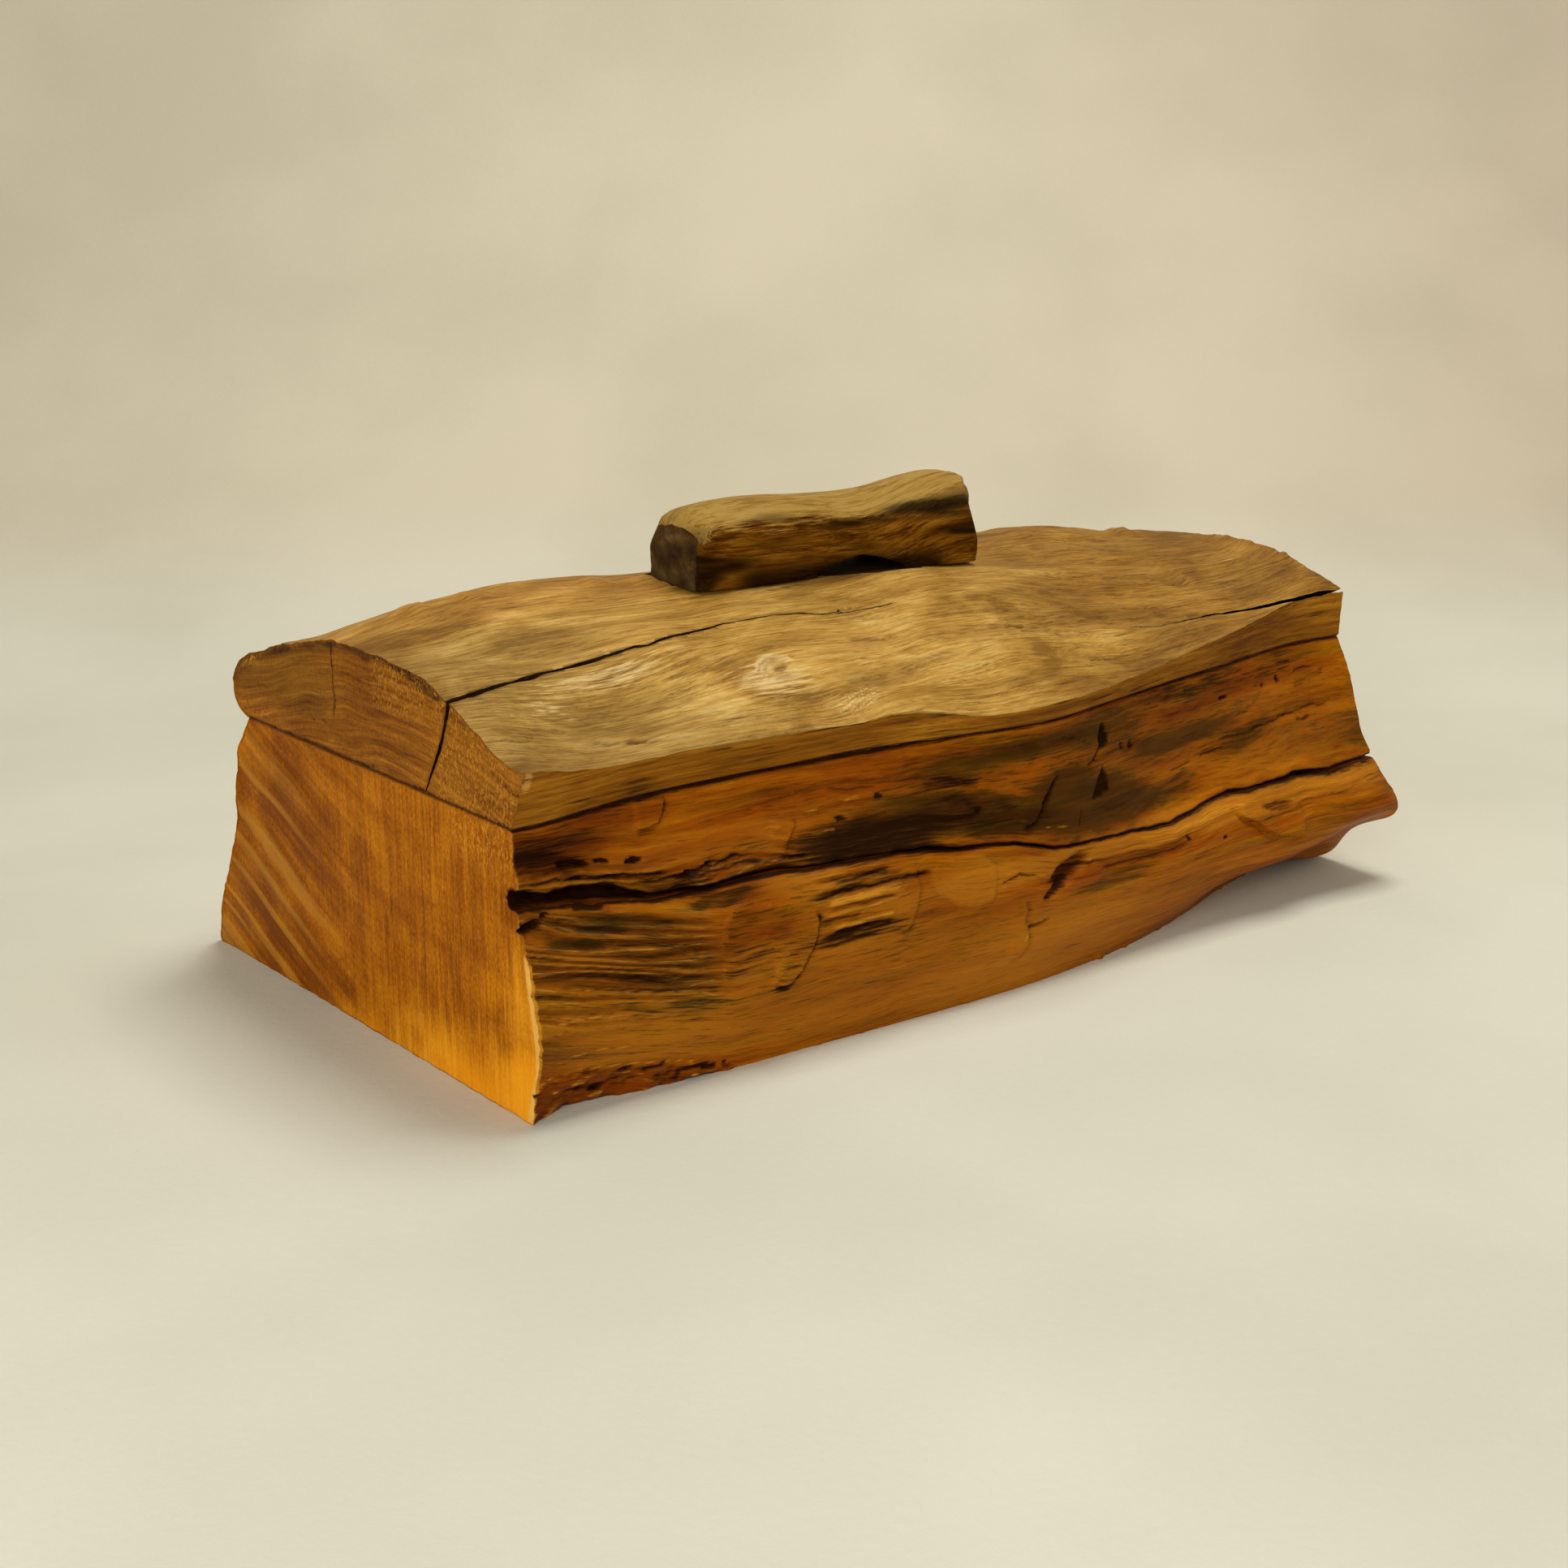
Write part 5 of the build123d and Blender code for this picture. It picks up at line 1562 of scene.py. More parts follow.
def lid_top_table():
    """Height of the lid's top along the log and across it, with the handle's bed filled in."""
    along = np.linspace(0, length, COARSE_COLUMNS)
    across = np.linspace(0, 1, TOP_ROWS)
    start, end = np.interp(along, lid_u, arris_y), np.interp(along, lid_u, rear_y)
    inset = 0.3
    y = start[:, None] + inset + (end - start - 2 * inset)[:, None] * across
    x = np.broadcast_to(clear_of_ends(along)[:, None], y.shape)
    z = probe("lid_slab", x, y, far_off, (0, 0, -1), 2)
    places = np.stack([x, y, np.full(x.shape, HANDLE_START[2])], -1)
    local = (places - HANDLE_START) @ handle_axes
    bed = (local[..., 0] > -BED_MARGIN) & (local[..., 0] < HANDLE_LENGTH + BED_MARGIN)
    bed &= abs(local[..., 1]) < HANDLE_WIDTH / 2 + BED_MARGIN
    checks = soften(np.nan_to_num(z, nan=seam), 8) - z > CHECK_DROP
    for column in range(len(along)):
        good = ~(bed[column] | checks[column] | np.isnan(z[column]))
        z[column] = smooth_fill(across, z[column], good)
    return along, across, soften(z, 1)


top_table = lid_top_table()
print("lid crest at", round(top_table[2].max(), 1), "mm")

# %% [markdown]
# Marks on the top are given in millimetres from the left end and from the front of the foot.
# There are pale places, worn wood and on the left partly painted highlights; shallow hollows that
# are darker; and short scratches along the grain.
# %% Marks on the lid
LID_PALE = [  # centre, radii, tilt, out, pale
    ((101, 25.5), (8, 4.0), 8, 0.15, 0.6), ((108, 15), (16, 4.0), -18, 0.2, 0.7),
    ((47, 33), (9, 2.2), 4, 0.0, 0.55), ((26, 31.5), (4, 2.4), 0, 0.0, 0.4),
    ((26, 24.8), (4.5, 1.8), 0, 0.0, 0.55), ((64, 82.5), (6, 2.2), 25, 0.3, 0.5),
    ((54, 61.5), (5, 1.4), 0, 0.0, 0.4), ((72, 34), (12, 3), 0, 0.0, 0.3),
    ((182, 44), (7, 3), 0, 0.2, 0.4), ((261, 47.5), (9, 3), 10, 0.2, 0.5),
    ((9, 42), (8, 8), 0, 0.0, 0.35), ((62, 24), (26, 9), 0, 0.0, 0.25),
    ((56, 45), (30, 10), 0, 0.0, 0.16), ((170, 4), (16, 3), 0, 0.0, 0.3),
    ((226, 33.5), (6, 2), 15, 0.2, 0.3),
]
LID_HOLLOWS = [  # centre, radii, out, dark
    ((230, 31), (7, 3), -1.0, 0.3), ((282, 46), (5, 4.5), -1.3, 0.35),
    ((198, 26.5), (8, 2.5), -0.8, 0.2), ((256, 26.5), (2.5, 2), -0.6, 0.4),
    ((268, 24), (3, 2), -0.6, 0.4), ((52, 79), (12, 2), -0.6, 0.3), ((22, 77), (9, 3), -0.4, 0.15),
    ((136, 16), (9, 4), -1.0, 0.15), ((124, 17), (8, 6), -0.8, 0.1),
    ((285, 82), (5, 1.5), -0.6, 0.4),
]
LID_SCRATCHES = [
    [(176, 32.8), (188, 32.4)], [(192, 32.6), (201, 33)], [(186, 29), (200, 29.2)],
    [(180, 26), (195, 26.2)], [(190, 24), (206, 23.6)], [(190, 14.8), (215, 15.2), (240, 16.6)],
    [(200, 12.6), (216, 12.2)], [(206, 10.4), (222, 10)], [(226, 18.6), (240, 20.8), (256, 22)],
    [(228, 12), (238, 9.6)], [(28, 15), (40, 14), (52, 11.6)], [(40, 13), (52, 10.6), (62, 9.4)],
    [(30, 43), (46, 42.4), (56, 41.6)], [(140, 38), (152, 37)], [(130, 31), (144, 29)],
    [(75, 30), (88, 29.4), (98, 30.4)],
]
KNOT, KNOT_FRONT = (101.5, 25.6), 25  # the old knot's middle; the grain parts behind this line
print(len(LID_PALE), "pale places", len(LID_HOLLOWS), "hollows", len(LID_SCRATCHES), "scratches")

# %% [markdown]
# Weathered wood shows its grain as fine waves that run round old knots. The waves are noise too,
# but on a coordinate that is pushed aside round the knot, as the growing fibres were.
# %% Relief and stains of the lid's top
def carve_lid(u, y):
    """Relief and stains of the lid's top, for places along and across."""
    skin = Skin(u, y, ragged=0.6, seed=111)
    for centre, radii, tilt, out, pale in LID_PALE:
        skin.patch(centre, np.array(radii) * 1.15, tilt=tilt, out=out, edge=1.6, pale=0.56 * pale)
    skin.patch(KNOT, (3.4, 1.2), tilt=8, out=-0.4, edge=0.9, dark=0.55)
    turns = np.linspace(0, 2 * math.pi, 25)
    for radii in ((7.5, 3.6), (5.6, 2.5)):
        ring = np.stack([KNOT[0] + radii[0] * np.cos(turns), KNOT[1] + radii[1] * np.sin(turns)], 1)
        skin.line(ring[3:22], 0.5, out=-0.2, dark=0.42)
    skin.line([(93.5, 25), (96, 28.4), (102, 29.6), (108, 28)], 1.0, out=0.15, pale=0.7)
    for centre, radii, out, dark in LID_HOLLOWS:
        skin.patch(centre, radii, out=out, edge=1.0, dark=dark)
    skin.line([(309, 49.2), (313, 49), (317, 48.4)], 0.5, out=0.3, pale=1.0)
    skin.line([(249, 47), (255, 49), (262, 50.4)], 0.6, out=-0.4, dark=0.35)
    for path in LID_SCRATCHES:
        skin.line(path, 0.55, out=-0.4, dark=0.4)
    # Diagonal ripples beside the old knot
    phase = (y - 9.5 - 0.3 * (u - 117)) / 1.35 + 0.25 * grain(u / 6, y / 3, seed=113)
    zone = soft((15 - np.hypot((u - 117) * 1.0, (y - 10 - 0.3 * (u - 117)) * 2.6)) / 9)
    ripple = np.sin(2 * math.pi * phase)
    skin.out += 0.22 * zone * ripple
    skin.wash(zone * unit(ripple), pale=0.55)
    skin.wash(zone * unit(-ripple), dark=0.2)
    # Wavy grain that parts round the old knot
    behind = y - KNOT_FRONT
    round_knot = behind * np.exp(-((u - 101) / 22) ** 2 - (behind / 13) ** 2)
    wave = y - 0.45 * round_knot + 2.2 * grain(u / 45, y / 30, seed=115, octaves=2)
    wave = wave + 0.06 * u * soft((60 - u) / 60)
    lines = grain(u / 26, wave / 0.9, seed=117, octaves=2)
    bands = grain(u / 45, wave / 4.5, seed=119, octaves=3)
    right_side = soft((u - 170) / 60)
    skin.out += 0.12 * lines + (0.34 + 0.12 * right_side) * bands
    skin.out += (1.0 * grain(u / 36, y / 22, seed=121, octaves=2)
                 + 0.4 * right_side * grain(u / 16, wave / 5, seed=122, octaves=3))
    skin.wash(unit(-bands - 0.3), dark=0.3)
    skin.wash(unit(bands - 0.25), pale=0.3)
    skin.wash(unit(-lines - 0.35), dark=0.45)
    zones = grain(u / 40, y / 14, seed=123, octaves=3)
    skin.wash(soft((u - 140) / 120 + 0.25 * zones) * 0.75, deep=1.0)
    left_front = 0.6 * soft((46 - u) / 26) * soft((26 - y) / 12)
    skin.wash(left_front + 0.5 * unit(zones - 0.1), deep=0.8)
    # painted shade on the lid under the handle's arch
    skin.patch((157, 69), (54, 8), edge=0.8, dark=0.5)
    skin.wash(soft((y - 52 - 0.08 * u) / 22 + 0.3 * zones) * soft((190 - u) / 70), red=0.8)
    skin.line([(126, 44.6), (136, 43.2), (146, 42.6), (153, 42.4), (160, 43)], 0.4, crack=0.9)
    skin.line([(236, 22.4), (246, 21.9), (256, 21.6)], 0.4, crack=0.9)
    skin.stains["flow"] = wave
    # Bumps on the crest line
    for place, rise in (((26, 94), 1.4), ((44, 92), 1.6), ((86, 92), 1.0), ((300, 86), 1.3),
                        ((252, 86), 0.6)):
        skin.patch(place, (4.5, 5), out=rise, edge=1.0)
    return skin

# %% [markdown]
# The lid's ends show the same rings, but flat and arched over the heart of the log. A saw left
# pale flecks where it tore the pores open, and the wood is darker and olive under the last of the
# bark. Painted shade darkens the edge at the seam. A fine upright crack in the left end is stained
# here and cut later.
# %% Ends of the lid
HAIRLINE_Y, HAIRLINE_FROM, HAIRLINE_TO = 93.5, 88, 104


def lid_end_relief(flat, side):
    """Flat arched rings on an end of the lid, with saw marks, gold flecks and stains."""
    y, z = flat[:, 0] - foot_front, flat[:, 1]
    phase = z + 0.0023 * np.clip(y - 65, -60, 55) ** 2 + 0.25 * np.clip(y - 120, 0, None)
    phase = phase + 1.0 * grain(y / 22, z / 12, seed=131, octaves=2)
    rings = grain(phase / 1.7, y / 50, seed=132, octaves=2)
    lines = grain(y / 14, phase / 0.7, seed=133, octaves=2)
    rear = soft((y - 70) / 40)
    inward = 0.35 - 0.14 * rings - 0.07 * lines + 0.07 * grain(y / 2, z / 2, seed=135, octaves=2)
    share = lookup(top_table, np.full(len(y), 0.0 if side < 0 else length),
                   unit((flat[:, 0] - arris_y[0]) / (rear_y[0] - arris_y[0])))
    under_bark = soft((3.4 + 1.0 * grain(y / 5, 0.5, seed=136) - (share - z)) / 1.6)
    under_bark = under_bark * soft((y - 28) / 12)
    dark = 0.35 * unit(-rings - 0.15) + 0.4 * unit(-lines - 0.3) + 0.5 * under_bark
    # painted shade along the seam
    dark = dark * soft((130 - y) / 20 + 0.6) + 0.6 * soft((1.2 - (z - seam)) / 1.0)
    beside_crack = y - HAIRLINE_Y - 0.6 * grain(z / 4, 0.5, seed=167)
    dark = dark + (0.9 * hump(beside_crack / 0.45)
                   * soft((z - HAIRLINE_FROM) / 3) * (side < 0))
    flecks = unit(grain(y / 1.3, z / 0.9, seed=137, octaves=2) - 0.15)
    near = soft((24 - abs(y - 22)) / 10) + 0.9 * soft((18 - abs(y - 58)) / 8) * soft((z - 92) / 6)
    pale = 0.5 * flecks * unit(near) + 0.35 * unit(rings - 0.1)
    pale = pale + 0.7 * hump((y - 138) / 7) * soft((2.2 - (share - z)) / 1.0) * (side < 0)
    stains = {"dark": unit(dark), "pale": unit(pale),
              "olive": 0.55 * rear * soft((z - 80) / 8) + 0.5 * under_bark,
              "flow": phase, "flecked": unit(near)}
    return np.clip(inward, 0.02, None), stains

# %% [markdown]
# The slab is made of three sheets: the sawn strip in front, the natural top, and the back. The
# arris between strip and top wanders a little and is worn down at one place, so it is worked out
# before the sheets that meet at it.
# %% Strip, top and back of the lid
lid_x = left + lid_u
rag = 0.35 * grain(lid_u / 5, 0.5, seed=141, octaves=3)
dip = 0.8 * hump((lid_u - 112) / 9)
corner_z = arris_z + rag * 0.6 - dip
corner_y = arris_y + 0.25 * abs(rag) + 0.5 * dip


def lid_strip_sheet(shell):
    """The sawn strip, from the seam up to the arris."""
    share = np.linspace(0, 1, 18)
    strip_y = seam_y[:, None] + (corner_y - seam_y)[:, None] * share
    strip_z = seam + (corner_z - seam)[:, None] * share
    saw = grain(lid_u[:, None] / 20, strip_z / 0.8, seed=143, octaves=2)
    relief = 0.08 * saw + 0.12 * grain(lid_u[:, None] / 12, strip_z / 5, seed=145, octaves=2)
    edge = unit(1 - (strip_z - seam) / 1.0) ** 2
    brow = unit(1 - (corner_z[:, None] - strip_z) / 0.7) ** 2
    strip_y = strip_y + 0.15 - relief + 0.65 * edge + 0.2 * brow
    strip = np.stack([np.broadcast_to(lid_x[:, None], strip_z.shape), strip_y, strip_z], -1)
    strip_dark = 0.8 * unit(-saw - 0.3)
    chip = hump((lid_u[:, None] - 1.5) / 1.6) * soft((strip_z - seam - 9) / 3)
    # painted shade under the arris and along the seam; the chip is paler wood
    under = 0.75 * brow * (1 - chip)
    strip_dark = strip_dark + 0.3 * under + 0.7 * edge
    return shell.add(strip, {"dark": unit(strip_dark), "pale": chip, "flow": strip_z})


def lid_top_sheet(shell):
    """The top, from the arris to the rearmost line, finer at the front; and that line's height."""
    t = np.linspace(0, 1, 172)[1:]
    spread = t * (0.80 + 0.20 * t)
    y = corner_y[:, None] + (rear_y - corner_y)[:, None] * spread
    u = np.broadcast_to(lid_u[:, None], y.shape)
    skin = carve_lid(u, y - foot_front)
    z = lookup(top_table, u, np.broadcast_to(spread, u.shape))
    base_start = lookup(top_table, lid_u, np.zeros(len(lid_u)))
    behind = y - corner_y[:, None]
    z = z + (corner_z - base_start)[:, None] * np.exp(-behind / 5)
    hold = 1 - np.exp(-behind / 1.2)
    rear_hold = soft((1 - spread) / 0.02)
    z = z + (skin.out - 0.35) * hold * rear_hold
    brow = unit(1 - behind / 1.0) ** 2
    z = z - 0.2 * brow
    z[:, -1] = np.maximum(z[:, -1], rear_z + 0.5)
    top = np.stack([left + u, y, np.minimum(z, lid_high[2] - 0.02)], -1)
    return shell.add(top, skin.stains), z[:, -1]


def lid_back_sheet(shell, rear_line):
    """The back, from the rearmost line down to the seam."""
    share = np.linspace(0, 1, 16)[1:]
    back_z = rear_line[:, None] + (seam - rear_line)[:, None] * share
    back_z[:, -1] = seam
    some_x, some_z = clear_of_ends(lid_u)[::4, None], np.clip(back_z[::4], seam + ray_inset, None)
    some_y = probe("lid_slab", some_x, far_off, some_z, (0, -1, 0), 1)
    back_y = np.array([np.interp(lid_u, lid_u[::4], row) for row in some_y.T]).T
    rough = 0.4 * grain(lid_u[:, None] / 14, back_z / 2.5, seed=147, octaves=3)
    back_y = np.minimum(np.nan_to_num(back_y, nan=0) - 0.4 + rough, lid_high[1] - 0.02)
    back_y[:, -1] -= 0.4
    back = np.stack([np.broadcast_to(lid_x[:, None], back_z.shape), back_y, back_z], -1)
    return shell.add(back, {"dark": unit(-rough) * 1.4, "flow": back_z})

# %% [markdown]
# The three sheets share their edge points. The two ends and the underside are filled in between
# them, and the shell is closed. In the underside two counterbores take the handle's screws.
# %% Lid shell
LID_EDGE_POINTS = 110
SCREW_SHARES = (0.17, 0.86)  # along the handle
BORE_RADIUS, BORE_DEPTH, BORE_POINTS = 7, 7, 48


def lid_mesh():
    """The slab as one closed shell: strip, top, back, ends and underside."""
    shell = Shell(["top", "end", "sawn", "strip"])
    strip_ids = lid_strip_sheet(shell)
    top_ids, rear_line = lid_top_sheet(shell)
    back_ids = lid_back_sheet(shell, rear_line)
    shell.weave(strip_ids, "strip")
    shell.weave(np.concatenate([strip_ids[:, -1:], top_ids], 1), "top")
    shell.weave(np.concatenate([top_ids[:, -1:], back_ids], 1), "top")
    every = np.concatenate(shell.points)
    runs = {}
    for side, column in ((-1, 0), (1, -1)):
        a, b = every[strip_ids[column, 0]], every[back_ids[column, -1]]
        # painted shade along the bottom edge of each end, at the seam
        runs[side] = shell.add(end_run(a, b, LID_EDGE_POINTS, side, 129, 0.6),
                               {"dark": np.full(LID_EDGE_POINTS, 0.8)})
        outline = (list(strip_ids[column]) + list(top_ids[column]) + list(back_ids[column])
                   + list(runs[side][::-1]))
        fill_end(shell, outline, side, lid_end_relief, 1.0 if side < 0 else 1.4)
    under = list(strip_ids[:, 0]) + list(runs[1]) + list(back_ids[::-1, -1]) + list(runs[-1][::-1])
    bores = []
    turns = np.linspace(0, 2 * math.pi, BORE_POINTS, endpoint=False)
    for share in SCREW_SHARES:
        centre = HANDLE_START + handle_axes @ np.array([share * HANDLE_LENGTH, 0, 0])
        circle = np.column_stack([centre[0] + BORE_RADIUS * np.cos(turns),
                                  centre[1] + BORE_RADIUS * np.sin(turns)])
        mouth, root = (shell.add(np.column_stack([circle, np.full(BORE_POINTS, height)]))
                       for height in (seam, seam + BORE_DEPTH))
        shell.weave(np.array([mouth, root]), "sawn", closed=True)
        fill_level(shell, [root], seam + BORE_DEPTH, 2.0)
        bores.append(mouth)
    fill_level(shell, [under] + bores, seam, 4.0)
    return shell

# %% [markdown]
# The top is weathered: gold-grey with darker, redder wood towards the right, and greyer at the
# front left, which is partly a painted sheen. The stain called flow bends its streaks round the
# knot, and hair-thin dark lines run in the deepest grain.
# %% Finish of the lid's top
def lid_paint(spot, painted):
    x, y, z = spot.parts()
    sides = (painted("flow"), z * 0.3)
    broad = laid(x, 0.013, sides, 0.06).noise(1.0, 3, 0.55)
    streaks = laid(x, 0.024, sides, 0.30).noise(1.0, 5, 0.62, 0.3)
    fibres = laid(x, 0.080, sides, 1.5).noise(1.0, 4, 0.68)
    cloud = spot.stretched((0.020, 0.045, 0.045)).noise(1.0, 5, 0.62, 0.6)
    level = 0.5 + (cloud - 0.5) * 0.62 + (broad - 0.5) * 0.2
    level = level + (streaks - 0.5) * 0.2 + (fibres - 0.5) * 0.26
    colour = level.ramp([(0.39, (0.26, 0.127, 0.010)), (0.46, (0.42, 0.228, 0.031)),
                         (0.53, (0.57, 0.338, 0.066)), (0.62, (0.77, 0.53, 0.155))])
    # greyer towards the front left: weathering, and partly a painted sheen
    grey = ((x - left) / 60 + (y - foot_front) / 90 + (broad - 0.5) * 2).spread(0.6, 1.9)
    colour = colour.times((0.86, 0.92, 1.15, 1), (1 - grey).clamped())
    deep = (painted("deep") + (streaks - 0.5) * 1.6 + (cloud - 0.5) * 0.8).spread(0.0, 1.0)
    colour = colour.times((0.62, 0.50, 0.24, 1), deep)
    hairs = laid(x, 0.018, sides, 0.5).noise(1.0, 5, 0.7)
    thin = 1 - abs(hairs - 0.5).spread(0.005, 0.028)
    colour = colour.times((0.40, 0.28, 0.15, 1), thin * streaks.spread(0.40, 0.54) * 0.75)
    colour = stained_and_shaded(colour, painted, fibres, pale=(0.74, 0.55, 0.24), dark=(0.10, 0.036, 0.002),
                     red=(0.92, 0.76, 0.5), veil=0.6)
    fray = laid(x, 0.3, sides, 0.7).noise(1.0, 3, 0.6)
    colour = with_cracks(colour, painted, fray, rim_highlight=(0.7, 0.45, 0.13))
    return {"Base Color": colour, "Specular IOR Level": 0.15,
            "Roughness": (0.5 + streaks * 0.2).clamped(),
            "Normal": bumped(fibres * 0.6 + streaks * 0.4, 0.6, 0.9)}

# %% [markdown]
# The sawn ends and the sawn strip stayed brown, because the weather reaches them less. Inside a
# check the wood is painted nearly black, as painted shade, and the bed under the handle gets the
# same finish.
# %% Finishes of the lid's sawn faces, and the lid itself
def lid_end_paint(spot, painted):
    x, y, z = spot.parts()
    lines = laid(y, 0.022, (painted("flow"), x * 0.3), 0.55).noise(1.0, 5, 0.68, 0.3)
    fine = laid(y, 0.09, (painted("flow"), x * 0.3), 1.6).noise(1.0, 3, 0.6)
    cloud = spot.stretched((0.03, 0.03, 0.05)).noise(1.0, 3, 0.5)
    pores = spot.noise(1.1, 3, 0.6)
    level = lines * 0.40 + fine * 0.18 + cloud * 0.22 + pores * 0.20
    colour = level.ramp([(0.40, (0.15, 0.036, 0.001)), (0.46, (0.23, 0.070, 0.002)),
                         (0.53, (0.34, 0.115, 0.004)), (0.61, (0.47, 0.19, 0.013))])
    colour = stained_and_shaded(colour, painted, pores, pale=(0.66, 0.31, 0.030), dark=(0.045, 0.011, 0.0006),
                     olive=(0.72, 0.86, 1.0))
    colour = with_flecks(colour, painted, spot, gold=(0.60, 0.27, 0.02))
    return {"Base Color": colour, "Specular IOR Level": 0.08,
            "Roughness": (0.48 + lines * 0.2).clamped(),
            "Normal": bumped(lines * 0.6 + pores * 0.4, 0.4, 0.8)}


def strip_paint(spot, painted):
    x, y, z = spot.parts()
    lines = laid(x, 0.02, (painted("flow"), y * 0.3), 0.55).noise(1.0, 5, 0.62)
    fine = laid(x, 0.09, (painted("flow"), y * 0.3), 2.0).noise(1.0, 3, 0.6)
    cloud = spot.stretched((0.018, 0.05, 0.05)).noise(1.0, 3, 0.5)
    level = lines * 0.42 + fine * 0.25 + cloud * 0.33
    colour = level.ramp([(0.40, (0.15, 0.046, 0.001)), (0.46, (0.22, 0.076, 0.002)),
                         (0.53, (0.31, 0.115, 0.004)), (0.62, (0.46, 0.20, 0.012))])
    colour = stained_and_shaded(colour, painted, fine, pale=(0.55, 0.30, 0.07), dark=(0.045, 0.013, 0.0007))
    return {"Base Color": colour, "Specular IOR Level": 0.08,
            "Roughness": (0.52 + lines * 0.2).clamped(),
            "Normal": bumped(lines * 0.5 + fine * 0.5, 0.4, 0.8)}


def crack_paint(spot, painted):
    fibres = spot.stretched((0.1, 0.8, 0.8)).noise(1.0, 4, 0.6)
    # painted shade: near black, for the walls of the checks and the bed under the handle
    colour = fibres.ramp([(0.35, (0.008, 0.003, 0.0006)), (0.65, (0.045, 0.018, 0.002))])
    return {"Base Color": colour, "Specular IOR Level": 0.05,
            "Roughness": (0.7 + fibres * 0.2).clamped(),
            "Normal": bumped(fibres, 0.3, 0.8)}


lid_top = finish("weathered_top", lid_paint)
lid_crack = finish("inside_of_a_check", crack_paint)
lid_end = finish("lid_end_grain", lid_end_paint)
lid_strip = finish("sawn_front_strip", strip_paint)
lid = lid_mesh().build("carved_lid", [lid_top, lid_end, sawn_face, lid_strip])
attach(lid, "lid")
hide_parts("lid_slab")

# %% [markdown]
# The two drying checks, the hair crack and the handle's bed are cut last. Each is a closed strip of
# cross-sections, and a boolean takes it out of the slab and leaves the cutter's finish inside.
# %% Cutters
def wedge(name, rows):
    """A closed strip from rows of points: each row is one cross-section ring."""
    rows = np.array(rows)
    count, around = rows.shape[:2]
    mesh = bpy.data.meshes.new(name)
    faces = []
    for k in range(count - 1):
        for m in range(around):
            a, b = k * around + m, k * around + (m + 1) % around
            faces.append((a, b, b + around, a + around))
    faces.append(tuple(range(around))[::-1])
    faces.append(tuple((count - 1) * around + m for m in range(around)))
    mesh.from_pydata((rows.reshape(-1, 3) * MM).tolist(), [], faces)
    work = bmesh.new()
    work.from_mesh(mesh)
    bmesh.ops.recalc_face_normals(work, faces=work.faces)
    work.to_mesh(mesh)
    work.free()
    piece = bpy.data.objects.new(name, mesh)
    bpy.context.scene.collection.objects.link(piece)
    return piece


def cut(target, *cutters):
    """Takes the cutters out of a piece and deletes them."""
    for cutter in cutters:
        # every cut face gets the near-black painted shade of a check
        cutter.data.materials.append(lid_crack)
        tool = target.modifiers.new("cut", "BOOLEAN")
        tool.operation = "DIFFERENCE"
        tool.solver = "EXACT"
        tool.material_mode = "TRANSFER"
        tool.object = cutter
    bpy.context.view_layer.update()
    seen = target.evaluated_get(bpy.context.evaluated_depsgraph_get())
    mesh = bpy.data.meshes.new_from_object(seen)
    target.modifiers.clear()
    old = target.data
    target.data = mesh
    bpy.data.meshes.remove(old)
    for cutter in cutters:
        bpy.data.objects.remove(cutter)
    print(target.name, "cut, now", len(mesh.polygons), "faces")


def there_and_back(*sides):
    """A ring of points along one side and back along the other, from coordinates x, y, z."""
    there, back = (np.stack(np.broadcast_arrays(*side), 1) for side in sides)
    return np.concatenate([there, back[::-1]])

# %% [markdown]
# Each check is a thin, ragged wedge that follows the grain. The left one opens at the end and
# leans back as it goes down; the right one runs in behind the arris, almost level.
# %% The checks, the hair crack and the bed
CHECK_PATH = [(-4, 32.3), (0, 32.5), (8, 33), (20, 35.5), (30, 37.7), (40, 38.8), (50, 40),
              (60, 40.6), (75, 42), (90, 44.3), (100, 45.8), (110, 46.8), (115, 47), (120, 46),
              (130, 43.8), (140, 42.8), (152, 42.4)]
CHECK_STEP = 1.6


def left_check_rows():
    path = np.array(CHECK_PATH, float)
    along = np.arange(path[0, 0], path[-1, 0], CHECK_STEP)
    across = np.interp(along, path[:, 0], path[:, 1])
    across = across + 0.22 * grain(along / 4, 0.5, seed=151, octaves=3)
    rows = []
    for u, y in zip(along, across):
        top = float(lookup(top_table, np.array([max(u, 0.0)]), np.array([0.22]))[0]) + 12
        wide = float(np.interp(u, [-4, 0, 12, 30, 50, 80, 115, 152],
                               [2.1, 2.0, 1.5, 1.3, 1.1, 0.9, 0.6, 0.3]))
        floor = float(np.interp(u, [-4, 0, 50, 100, 152], [seam - 3, seam - 3, 92, 101, 108]))
        heights = floor + (top - floor) * np.linspace(1, 0, 9)
        surface = float(np.interp(u, [0, 50, 100, 150], [104.5, 107, 106.5, 106]))
        depth = unit((surface - heights) / (surface - floor))
        lean = np.interp(u, [0, 50, 100, 152], [16.5, 8, 4, 1])
        wander = 0.35 * grain(heights / 4, u / 9, seed=153, octaves=2)
        middle = y + foot_front + lean * depth ** 1.3 + wander
        half = 0.5 * wide * (1 - 0.75 * depth) * (1 + 0.3 * grain(u / 2.5, heights / 3, seed=155))
        rows.append(there_and_back((left + u, middle - half, heights),
                                   (left + u, middle + half, heights)))
    return rows


